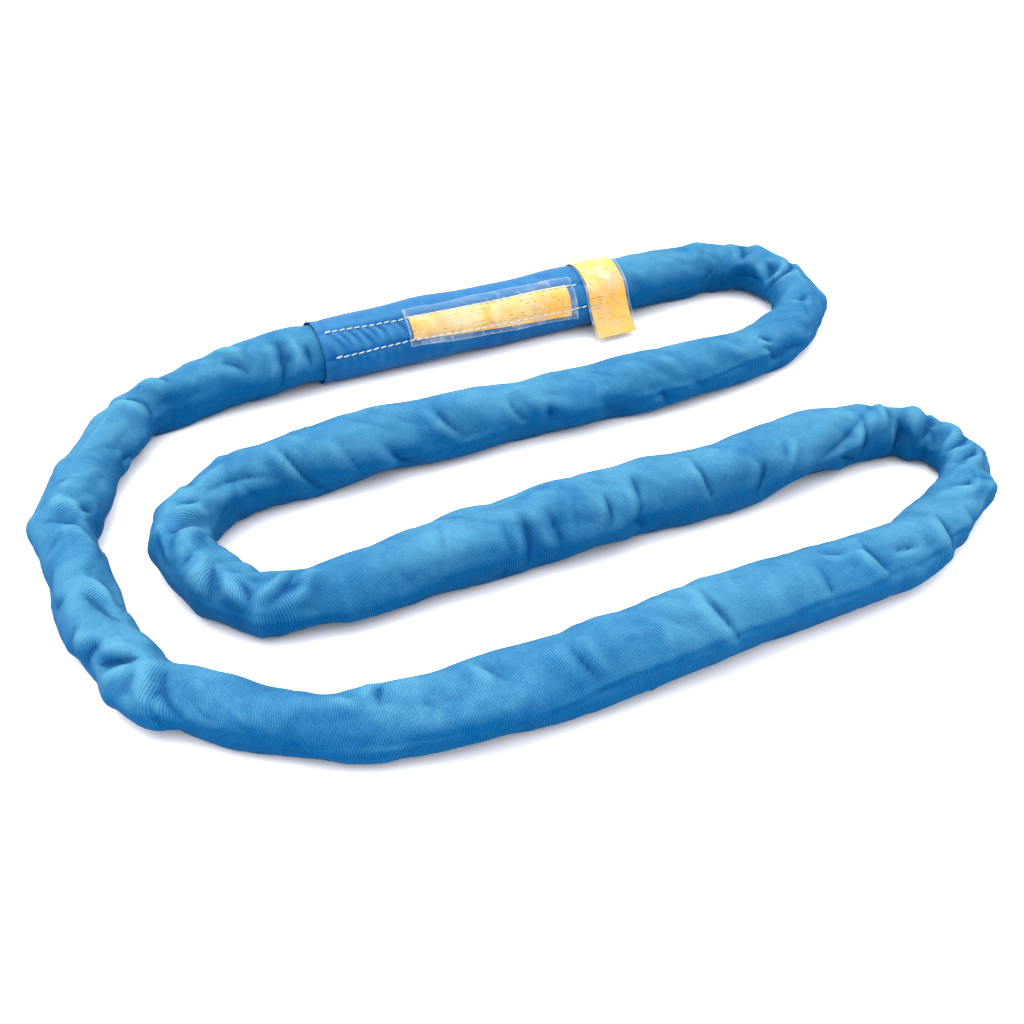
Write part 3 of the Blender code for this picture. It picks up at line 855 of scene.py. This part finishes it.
def sleeve_look():
    """Plain-woven blue polyester, smoother and more even than the cover."""
    recipe = Recipe("sleeve_cloth")
    u, v, place = recipe.fabric_place()
    warp = thread_wave(recipe, u, 0.62 * MM)
    weft = thread_wave(recipe, v, 0.62 * MM)
    weave = recipe.math("MULTIPLY", warp, weft)
    patches = recipe.between(recipe.noise(place, 18, 3, 0.55), 0.40, 0.72)
    soft = recipe.noise(place, 70, 4, 0.6, 0.5)
    top_highlight = facing_up_highlight(recipe, 0.0, 0.9)
    colour = recipe.blend(patches, (0.0, 0.062, 0.20, 1), (0.0003, 0.078, 0.23, 1))
    # The crest value gives painted shade in the valleys and painted highlights on the ridges
    crest = recipe.value_of("crest")
    low = recipe.between(crest, 0.0, -1.6)
    high = recipe.between(crest, 0.0, 1.4)
    colour = recipe.blend(recipe.math("MULTIPLY", weave, 0.20), colour, (0.02, 0.13, 0.27, 1))
    # Painted highlight: surfaces that face up are paled, where the light from above falls
    colour = recipe.blend(recipe.math("MULTIPLY", top_highlight, 0.38), colour, HIGHLIGHT_BLUE)
    # Painted shade: the valleys of the puckers and folds are darkened
    colour = recipe.blend(recipe.math("MULTIPLY", low, 0.6), colour, (0.0, 0.04, 0.15, 1))
    # Painted highlight: the ridges are paled
    colour = recipe.blend(recipe.math("MULTIPLY", high, 0.45), colour, HIGHLIGHT_BLUE)
    normal = recipe.bump(soft, 0.45, 1.3 * MM)
    normal = recipe.bump(weave, 0.5, 0.12 * MM, normal)
    return recipe.finish(
        Base_Color=colour, Roughness=0.58, Normal=normal,
        Specular_IOR_Level=0.06, Sheen_Weight=0.04, Sheen_Roughness=0.35,
        Sheen_Tint=POLYESTER_SHEEN,
    )


def thread_look():
    """White twisted sewing thread."""
    recipe = Recipe("sewing_thread")
    u, v, place = recipe.fabric_place()
    twist = thread_wave(recipe, recipe.math("ADD", v, u), 0.7 * MM)
    shade = recipe.math("MULTIPLY_ADD", recipe.noise(place, 300, 2), 0.3, 0.1)
    colour = recipe.blend(shade, (0.50, 0.52, 0.54, 1), (0.33, 0.38, 0.45, 1))
    normal = recipe.bump(twist, 0.6, 0.12 * MM)
    return recipe.finish(
        Base_Color=colour, Roughness=0.62, Normal=normal, Specular_IOR_Level=0.35,
        Sheen_Weight=0.2, Sheen_Roughness=0.5,
    )


def print_marks(recipe, u, v, line_pitch, mark_length):
    """Faint grey printed marks in lines: dashes of uneven length, with no lettering."""
    line = recipe.math("DIVIDE", v, line_pitch)
    within = recipe.math("FRACT", line)
    number = recipe.math("FLOOR", line)
    from_line = recipe.math("ABSOLUTE", recipe.math("SUBTRACT", within, 0.5))
    inked = recipe.math("LESS_THAN", from_line, 0.11)
    cell = recipe.node("ShaderNodeCombineXYZ", {
        "X": recipe.math("DIVIDE", u, mark_length),
        "Y": recipe.math("MULTIPLY", number, 7.3),
    }).outputs[0]
    words = recipe.between(recipe.noise(cell, 1.0, 2, 0.7), 0.53, 0.56)
    blocks = recipe.node("ShaderNodeCombineXYZ", {
        "X": recipe.math("DIVIDE", u, 9 * mark_length),
        "Y": recipe.math("MULTIPLY", number, 0.31),
    }).outputs[0]
    areas = recipe.between(recipe.noise(blocks, 1.0, 1, 0.5), 0.47, 0.50)
    return recipe.math("MULTIPLY", recipe.math("MULTIPLY", inked, words), areas)


def yellow_card_look(name, pale_share, deepening, mark_strength):
    """Yellow printed card with faint marks and uneven colour."""
    recipe = Recipe(name)
    u, v, place = recipe.fabric_place()
    deep_yellow = (0.55, 0.27, 0.010, 1)
    clouds = recipe.between(recipe.noise(place, 34, 3, 0.5, 0.5), 0.36, 0.66)
    colour = recipe.blend(clouds, deep_yellow, (0.55, 0.345, 0.06, 1))
    cream = recipe.between(recipe.noise(place, 42, 3, 0.6, 0.9), 0.46, 0.60)
    colour = recipe.blend(recipe.math("MULTIPLY", cream, pale_share), colour, (0.54, 0.42, 0.20, 1))
    lower_end = recipe.between(v, 40 * MM, 56 * MM)
    colour = recipe.blend(recipe.math("MULTIPLY", lower_end, 0.75 * deepening), colour, deep_yellow)
    marks = print_marks(recipe, u, v, 2.6 * MM, 3.2 * MM)
    colour = recipe.blend(recipe.math("MULTIPLY", marks, mark_strength), colour, (0.10, 0.09, 0.07, 1))
    normal = recipe.bump(recipe.noise(place, 160, 3), 0.25, 0.5 * MM)
    return recipe.finish(
        Base_Color=colour, Roughness=0.5, Normal=normal, Specular_IOR_Level=0.4,
    )


def clear_vinyl_look(name, thinnest, milkiest_with_glare):
    """Clear soft vinyl: see-through, with milky patches that are also painted glare, painted highlights
    along its edges, and faint milkiness where creased.
    """
    recipe = Recipe(name)
    place = recipe.object_place()
    # Painted glare: random milky patches stand in for reflections of the light, on top of the film's own
    # slight milkiness
    cloud = recipe.between(recipe.noise(place, 30, 3, 0.55, 1.0), 0.48, 0.70)
    rim = recipe.value_of("rim")
    creased = recipe.between(recipe.noise(place, 62, 2, 0.5, 2.5), 0.60, 0.66)
    alpha = recipe.math("MULTIPLY_ADD", cloud, milkiest_with_glare - thinnest, thinnest)
    # Painted highlight: the film's edges are whiter
    alpha = recipe.math("MULTIPLY_ADD", rim, 0.18, alpha)
    alpha = recipe.math("MULTIPLY_ADD", creased, 0.10, alpha)
    normal = recipe.bump(recipe.noise(place, 42, 2, 0.5, 0.6), 0.3, 1.4 * MM)
    return recipe.finish(
        Base_Color=(0.50, 0.53, 0.55, 1), Alpha=alpha, Roughness=0.16, Normal=normal,
        Specular_IOR_Level=0.6,
    )


def core_yarn_look():
    """Undyed polyester yarn: many fine strands with a slight twist."""
    recipe = Recipe("core_polyester")
    place = recipe.object_place()
    strands = recipe.noise(place, 420, 3, 0.6, 2.0)
    pale = recipe.between(strands, 0.35, 0.7)
    colour = recipe.blend(pale, (0.62, 0.61, 0.57, 1), (0.86, 0.85, 0.81, 1))
    normal = recipe.bump(strands, 0.7, 0.5 * MM)
    return recipe.finish(
        Base_Color=colour, Roughness=0.6, Normal=normal, Sheen_Weight=0.3, Sheen_Roughness=0.4,
    )


def join_tape_look():
    """Tan cloth tape round the core's join."""
    recipe = Recipe("join_cloth_tape")
    place = recipe.object_place()
    parts = recipe.node("ShaderNodeSeparateXYZ", {"Vector": place})
    weave = thread_wave(recipe, parts.outputs["X"], 0.9 * MM)
    stain = recipe.noise(place, 70, 4)
    colour = recipe.blend(stain, (0.45, 0.33, 0.18, 1), (0.60, 0.48, 0.30, 1))
    normal = recipe.bump(weave, 0.5, 0.2 * MM)
    return recipe.finish(Base_Color=colour, Roughness=0.7, Normal=normal)


def floor_look():
    """Plain pale studio floor."""
    recipe = Recipe("studio_floor")
    return recipe.finish(Base_Color=(0.84, 0.84, 0.84, 1), Roughness=1.0, Specular_IOR_Level=0.0)


# ---------------------------------------------------------------- the sling's pieces

def settle(piece, slot, *nodes):
    """Makes a piece ride on the root body and hides the nodes it replaces; the slot is not used."""
    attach(piece, "root")
    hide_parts(*nodes)


def widened(relief, rounds):
    """The relief with its narrow features evened out."""
    wide = relief.copy()
    for _ in range(rounds):
        wide = (np.roll(wide, 1, 1) + np.roll(wide, -1, 1) + wide) / 3
        wide[1:-1] = (wide[2:] + wide[:-2] + wide[1:-1]) / 3
    return wide


def woven_cover():
    """The ribbed tube, from inside the sleeve's right end all round to inside its left end."""
    start, end = SLEEVE[1] - COVER_TUCK, LENGTH + COVER_TUCK
    rings = int(round((end - start) / RING_STEP))
    distance = np.linspace(start, end, rings)
    degrees = np.arange(COVER_SIDES) * 360 / COVER_SIDES
    relief = cover_relief(distance, degrees)
    points = on_section(distance[:, None], degrees[None, :], relief)
    around = np.arange(COVER_SIDES + 1) / COVER_SIDES * math.pi * BODY_DIAMETER
    cover = tube_object("woven_cover_tube", points, distance, around, woven_cover_look())
    # The crest value drives the painted highlights on ridges and the painted shade in valleys
    add_value(cover, "crest", (relief - widened(relief, 6)) / CREST_UNIT)
    settle(cover, "cover_weave", "cover", "cover_seam")
    middle = on_section(distance, 90, 0) * (1, 1, 0)
    middle[:, 2] = (points[:, :, 2].max(axis=1) + points[:, :, 2].min(axis=1)) / 2
    return cover, middle


def joint_sleeve():
    """The smooth sleeve over the cover's two ends, turned in at both of its own ends."""
    count = int(round((SLEEVE[1] - SLEEVE[0]) / SLEEVE_STEP)) + 1
    distance = np.linspace(SLEEVE[0], SLEEVE[1], count)
    degrees = np.arange(SLEEVE_SIDES) * 360 / SLEEVE_SIDES
    relief = sleeve_relief(distance, degrees)
    outside = on_section(distance[:, None], degrees[None, :], relief)
    inside = on_section(distance[:, None], degrees[None, :], relief - FABRIC)
    left = on_section(SLEEVE[0] - SLEEVE_RIM, degrees[None, :], relief[:1] - FABRIC / 2)
    right = on_section(SLEEVE[1] + SLEEVE_RIM, degrees[None, :], relief[-1:] - FABRIC / 2)
    points = np.concatenate([outside, right, inside[::-1], left])
    ends = [SLEEVE[1] + SLEEVE_RIM], [SLEEVE[0] - SLEEVE_RIM]
    along = np.concatenate([distance, ends[0], distance[::-1], ends[1]])
    around = np.arange(SLEEVE_SIDES + 1) / SLEEVE_SIDES * math.pi * BODY_DIAMETER
    rows, columns = points.shape[:2]
    faces, corner_rows, corner_columns = grid_faces(rows, columns, True, True)
    along = np.append(along, along[0])
    uvs = np.stack([along[corner_rows], around[corner_columns]], axis=-1)
    sleeve = new_object("smooth_joint_sleeve", points.reshape(-1, 3), faces, uvs, sleeve_look())
    # This crest value drives painted shade in valleys and painted highlights on ridges
    crest = (relief - widened(relief, 12)) / CREST_UNIT
    add_value(sleeve, "crest", np.concatenate([crest, crest[-1:], crest[::-1], crest[:1]]))
    settle(sleeve, "sleeve_fabric", "joint_sleeve")
    return sleeve


def stitch_points(start, end, up):
    """Rings of one stitch: a plump thread that dives into the cloth at both ends."""
    share = np.linspace(0, 1, STITCH_RINGS)
    fullness = np.sqrt(np.clip(1 - (2 * share - 1) ** 4, 0.06, 1))
    middle = start[None, :] + (end - start)[None, :] * share[:, None]
    middle = middle + up[None, :] * (fullness[:, None] - 0.8) * THREAD
    along = (end - start) / np.linalg.norm(end - start)
    side = np.cross(along, up)
    turn = np.arange(STITCH_SIDES) * 2 * math.pi / STITCH_SIDES
    round_ring = np.cos(turn)[:, None] * side[None, :] + np.sin(turn)[:, None] * up[None, :]
    return middle[:, None, :] + round_ring[None, :, :] * (THREAD * fullness)[:, None, None]


def stitch_line(name, places, heights, look, stitch, seed):
    """Separate stitches along a line of places (points) on the cloth, as one mesh."""
    rng = np.random.default_rng(seed)
    run = np.concatenate([[0], np.cumsum(np.linalg.norm(np.diff(places, axis=0), axis=1))])
    vertices, faces, uvs = [], [], []
    for number in range(int(run[-1] / (stitch + STITCH_GAP))):
        first = number * (stitch + STITCH_GAP)
        spots = [first, first + stitch]
        start, end = [np.array([np.interp(d, run, places[:, k]) for k in range(3)]) for d in spots]
        up = np.array([np.interp(first, run, heights[:, k]) for k in range(3)])
        up /= np.linalg.norm(up)
        side = np.cross((end - start) / np.linalg.norm(end - start), up)
        jitter = rng.normal(0, 0.10 * MM, 2)
        slant = 0.28 * MM
        ring = stitch_points(start + side * (slant + jitter[0]), end + side * (jitter[1] - slant), up)
        rows, columns = ring.shape[:2]
        quads, corner_rows, corner_columns = grid_faces(rows, columns, closed_columns=True)
        faces.append(quads + len(vertices) * rows * columns)
        vertices.append(ring.reshape(-1, 3))
        length_along = corner_rows / (rows - 1) * stitch + first
        uvs.append(np.stack([length_along, corner_columns / columns * 2 * math.pi * THREAD], axis=-1))
    return new_object(name, np.concatenate(vertices), np.concatenate(faces), np.concatenate(uvs), look)


def sleeve_row(name, row, node, look, seed):
    """One row of lock-stitch along the sleeve, over the label's vinyl where that lies."""
    start, end = row[0][0] * MM, row[-1][0] * MM
    back_tack = np.linspace(start + BACK_TACK, start, BACK_TACK_POINTS)
    distance = np.concatenate([back_tack, np.linspace(start, end, 160)])
    degrees = row_angle(row, distance)
    degrees[:BACK_TACK_POINTS] += 1.6
    on_vinyl = eased((distance - VINYL[0]) / (1.5 * MM)) * eased((VINYL[1] - distance) / (1.5 * MM))
    height = 0.15 * MM + on_vinyl * (CARD_THICKNESS + FILM + 0.4 * MM)
    places = on_sleeve(distance, degrees, height)
    above = on_sleeve(distance, degrees, height + 1 * MM)
    thread = stitch_line(name, places, above - places, look, STITCH, seed)
    settle(thread, "thread", node)


def label_grid(ends, low_edge, high_edge, columns):
    """Distances and angles of a grid on the sleeve between two sloping edges."""
    distances = np.linspace(*ends, LABEL_ROWS)
    low = np.linspace(*low_edge, LABEL_ROWS)[:, None]
    high = np.linspace(*high_edge, LABEL_ROWS)[:, None]
    degrees = low + (high - low) * np.linspace(0, 1, columns)[None, :]
    return np.broadcast_to(distances[:, None], degrees.shape), degrees


def label_patch(name, grid, height, thickness, look):
    """A patch on the sleeve, standing a little proud and rippled."""
    distance, degrees = grid
    flutter = LABEL_RIPPLE * (
        0.6 * np.sin(distance / (13 * MM) + 1.0) + 0.4 * np.sin(distance / (7.1 * MM) + degrees / 9)
    )
    points = on_sleeve(distance, degrees, height + flutter)
    around = np.radians(degrees) * BODY_DIAMETER / 2
    patch = sheet_object(name, points, thickness, distance, around, look)
    # The vinyl's material reads the rim value to whiten the edges as a painted highlight
    add_value(patch, "rim", rim_values(*degrees.shape))
    return patch


def rim_values(rows, columns):
    """1 along the border of a sheet's grid and 0 inside, for both of its faces."""
    values = np.ones((rows, columns))
    values[1:-1, 1:-1] = 0
    return np.tile(values.ravel(), 2)


def window_height(distance, degrees):
    """The window lies on the card, and its free edges curl up beyond the stitches."""
    upper = eased((degrees - 51) / 13)
    lower = eased((5 - degrees) / 12)
    curl = 5 * MM
    left, right = VINYL[0] + curl - distance, distance - VINYL[1] + curl
    ends = eased(left / curl) + eased(right / curl)
    waves = 0.8 + 0.45 * np.sin(distance / (17 * MM) + 0.6) + 0.2 * np.sin(distance / (5.5 * MM))
    lifted = upper * 2.0 * MM * waves + lower * 1.0 * MM * waves + ends * 0.5 * MM
    return LABEL_HEIGHT + CARD_THICKNESS + 0.25 * MM + lifted


def label():
    """The printed card, and the larger clear window sewn down over it."""
    card = label_patch(
        "label_printed_card", label_grid(CARD, CARD_LOW_EDGE, CARD_HIGH_EDGE, 26), LABEL_HEIGHT,
        CARD_THICKNESS, yellow_card_look("label_card_print", 0.75, 0.0, 1.0),
    )
    window_grid = label_grid(VINYL, VINYL_LOW_EDGE, VINYL_HIGH_EDGE, 40)
    window = label_patch(
        "label_clear_vinyl", window_grid, window_height(*window_grid), FILM,
        clear_vinyl_look("label_vinyl", 0.03, 0.17),
    )
    settle(card, "yellow_card", "label_card")
    settle(window, "clear_film", "label_window")
    return card, window


# The tag's hanging end: (mm outward, mm down) from where it leaves the sleeve
TAG_TAIL = [(0, 0), (3.5, 7), (7.5, 13.5), (12, 19), (16.5, 22.5)]
TAG_TAIL_BEYOND = [(19, 23.3)]


def tag_strip(across_range, tail, height):
    """Points of the tag: from its sewn end behind the top, over it and down the front."""
    across = np.linspace(*across_range, TAG_COLUMNS)
    degrees = np.linspace(TAG_BACK_ANGLE, TAG_LEAVES_AT, TAG_ROWS)
    rise = height + TAG_RISE * eased((TAG_STITCH_ANGLE - degrees) / 24)
    ripple = 0.25 * MM * np.sin(np.radians(degrees * 5))[:, None] * np.sin(across / (6 * MM))[None, :]
    grid, turn = np.meshgrid(across, degrees, indexing="xy")
    shift = -TAG_SKEW * (np.arange(TAG_ROWS) / (TAG_ROWS - 1))[:, None] ** 1.5
    above = (rise + SLEEVE_TOP)[:, None] + ripple - hollow_depth(grid, turn, SLEEVE_HOLLOW)
    upper = on_section(grid + shift, turn, above)
    steps = np.array(tail, dtype=float) * MM
    fine = np.linspace(0, len(steps) - 1, TAIL_ROWS)[1:]
    outward = smooth_through(steps[:, 0], fine)
    drop = smooth_through(steps[:, 1], fine)
    dx, dy = direction(across - TAG_SKEW)
    inward = np.stack([dy, -dx, np.zeros_like(dx)], axis=-1)
    lower = upper[-1][None] + inward[None] * outward[:, None, None]
    lower = lower - np.array([0, 0, 1])[None, None] * drop[:, None, None]
    return np.concatenate([upper, lower])


def smooth_through(values, at):
    """Values on a smooth curve through evenly spaced ones."""
    padded = np.concatenate([[2 * values[0] - values[1]], values, [2 * values[-1] - values[-2]]])
    index = np.clip(np.floor(at).astype(int), 0, len(values) - 2)
    around = [padded[index + k] for k in range(4)]
    return catmull_rom(*around, at - index)


def tag():
    """The tag's printed strip in its clear vinyl pocket."""
    hinge = on_section(np.mean(TAG), HINGE_ANGLE, SLEEVE_TOP + GAP)
    strip = (
        "tag_printed_strip", TAG, TAG_TAIL, TAG_HEIGHT, CARD_THICKNESS,
        yellow_card_look("tag_card_print", 0.6, 1.0, 1.0), ("tag_root_card", "tag_flap_card"), "yellow_card",
    )
    pocket = (
        "tag_clear_vinyl", (TAG[0] - TAG_MARGIN, TAG[1] + TAG_MARGIN), TAG_TAIL + TAG_TAIL_BEYOND,
        TAG_HEIGHT + CARD_THICKNESS + GAP, FILM,
        clear_vinyl_look("tag_vinyl", 0.02, 0.12), ("tag_root_window", "tag_flap_window"), "clear_film",
    )
    made = []
    for name, across, tail, height, thickness, look, nodes, finish in (strip, pocket):
        points = tag_strip(across, tail, height)
        rows, columns = points.shape[:2]
        steps = np.linalg.norm(np.diff(points[:, columns // 2], axis=0), axis=1)
        run = np.concatenate([[0], np.cumsum(steps)])
        along, around = np.meshgrid(run, np.linspace(*across, columns), indexing="ij")
        piece = sheet_object(name, points, thickness, around, along, look)
        # The vinyl's material reads the rim value to whiten the edges as a painted highlight
        add_value(piece, "rim", rim_values(rows, columns))
        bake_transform(piece)
        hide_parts(*nodes)
        made.append(piece)
    return made


def tag_stitches(look):
    """The row of stitches that holds the tag's end behind the sleeve's top."""
    distance = np.linspace(TAG[0] + 1 * MM, TAG[1] - 1 * MM, 60)
    height = SLEEVE_TOP + TAG_RISE - hollow_depth(distance, TAG_STITCH_ANGLE, SLEEVE_HOLLOW)
    places = on_section(distance, TAG_STITCH_ANGLE, height)
    above = on_section(distance, TAG_STITCH_ANGLE, height + 1 * MM)
    thread = stitch_line("tag_lock_stitch", places, above - places, look, TAG_STITCH, TAG_ROW_SEED)
    settle(thread, "thread", "tag_stitch")


def core_bundles(look):
    """Seven bundles of core yarn, squeezed where the cover is pinched."""
    distance = np.linspace(0, LENGTH, CORE_RINGS)
    relief = np.minimum(cover_relief(distance, np.arange(0, 360, 12.0)), 0)
    turn = np.arange(BUNDLE_SIDES) * 2 * math.pi / BUNDLE_SIDES
    around = np.arange(BUNDLE_SIDES + 1) / BUNDLE_SIDES * 2 * math.pi * 5 * MM
    x, y, girth = on_line(distance)
    dx, dy = direction(distance)
    squeeze = 1 + relief.min(axis=1) / (2.2 * BODY_DIAMETER / 2)
    thick = BUNDLE_RADIUS * girth * squeeze
    for number in range(CORE_BUNDLES):
        from_middle = 0 if number == 0 else BUNDLES_FROM_MIDDLE
        angle = math.radians(60 * number)
        across = from_middle * girth * squeeze * math.cos(angle)
        up = from_middle * girth * squeeze * math.sin(angle) * HALF_HEIGHT / HALF_WIDTH
        height = lift(distance) + SETTLED * HALF_HEIGHT * girth + up
        side = across[:, None] + thick[:, None] * np.cos(turn)[None, :]
        points = np.stack([
            x[:, None] + dy[:, None] * side,
            y[:, None] - dx[:, None] * side,
            height[:, None] + thick[:, None] * np.sin(turn)[None, :],
        ], axis=-1)
        bundle = tube_object(f"core_bundle_{number + 1}", points, distance, around, look)
        settle(bundle, "core_yarn", f"core_yarn_{number + 1}")


# ---------------------------------------------------------------- the studio

FLOOR_REACH = 8.0
KEY_PLACE = (-1.3, 1.6, 3.9)
KEY_SIZE = 4.5
KEY_POWER = 170
KEY_COLOUR = (1.0, 0.985, 0.96)
SKY_AT_HORIZON = 0.9
SKY_OVERHEAD = 3.5
SKY_COLOUR = (0.99, 0.99, 1.0, 1)
CAMERA_PLACE = (-0.3172, -0.6871, 0.505)
CAMERA_LENS = 49.96
CAMERA_HEADING = math.radians(24)
CAMERA_FALL = math.radians(35)


def studio():
    """A pale floor, a soft key light from above and behind the left, and a soft sky."""
    mesh = bpy.data.meshes.new("floor")
    corners = [(x * FLOOR_REACH, y * FLOOR_REACH, 0) for x, y in ((-1, -1), (1, -1), (1, 1), (-1, 1))]
    mesh.from_pydata(corners, [], [(0, 1, 2, 3)])
    mesh.materials.append(floor_look())
    floor = bpy.data.objects.new("floor", mesh)
    bpy.context.scene.collection.objects.link(floor)
    bpy.context.scene.world = studio_sky()
    add_key_light()


def studio_sky():
    """Soft light from all above, brightest overhead and dim near the horizon."""
    world = bpy.data.worlds.new("studio")
    world.use_nodes = True
    tree = world.node_tree
    height = tree.nodes.new("ShaderNodeSeparateXYZ")
    tree.links.new(tree.nodes.new("ShaderNodeTexCoord").outputs["Generated"], height.inputs["Vector"])
    strength = tree.nodes.new("ShaderNodeMapRange")
    tree.links.new(height.outputs["Z"], strength.inputs["Value"])
    strength.inputs["To Min"].default_value = SKY_AT_HORIZON
    strength.inputs["To Max"].default_value = SKY_OVERHEAD
    sky = tree.nodes["Background"]
    sky.inputs["Color"].default_value = SKY_COLOUR
    tree.links.new(strength.outputs["Result"], sky.inputs["Strength"])
    return world


def add_key_light():
    """A large square area light that faces the sling."""
    light = bpy.data.lights.new("key", "AREA")
    light.size = KEY_SIZE
    light.energy = KEY_POWER
    light.color = KEY_COLOUR
    lamp = bpy.data.objects.new("key", light)
    lamp.location = KEY_PLACE
    lamp.rotation_euler = (-Vector(KEY_PLACE)).to_track_quat("-Z", "Y").to_euler()
    bpy.context.scene.collection.objects.link(lamp)


def camera():
    """The camera at the photograph's viewing angle."""
    data = bpy.data.cameras.new("camera")
    data.lens = CAMERA_LENS
    data.sensor_width = 36
    view = bpy.data.objects.new("camera", data)
    view.location = CAMERA_PLACE
    ahead = math.cos(CAMERA_FALL)
    look = Vector((
        math.sin(CAMERA_HEADING) * ahead, math.cos(CAMERA_HEADING) * ahead, -math.sin(CAMERA_FALL),
    ))
    view.rotation_euler = look.to_track_quat("-Z", "Y").to_euler()
    bpy.context.scene.collection.objects.link(view)
    bpy.context.scene.camera = view


# ---------------------------------------------------------------- assembly

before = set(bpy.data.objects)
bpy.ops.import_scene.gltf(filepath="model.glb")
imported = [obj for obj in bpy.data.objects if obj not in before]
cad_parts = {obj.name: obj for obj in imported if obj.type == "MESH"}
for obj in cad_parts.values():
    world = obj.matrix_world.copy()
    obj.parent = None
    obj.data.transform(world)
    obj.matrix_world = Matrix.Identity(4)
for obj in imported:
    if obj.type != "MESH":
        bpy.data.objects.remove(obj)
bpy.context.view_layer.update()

cover, cover_middle = woven_cover()
sleeve = joint_sleeve()
thread = thread_look()
sleeve_row("upper_lock_stitch", UPPER_ROW, "stitch_row_upper", thread, UPPER_ROW_SEED)
sleeve_row("lower_lock_stitch", LOWER_ROW, "stitch_row_lower", thread, LOWER_ROW_SEED)
card, window = label()
tag_card, tag_vinyl = tag()
tag_stitches(thread)
core_bundles(core_yarn_look())
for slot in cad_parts["core_join_tape"].material_slots:
    slot.material = join_tape_look()

studio()
camera()
bpy.context.scene.view_settings.view_transform = "Standard"
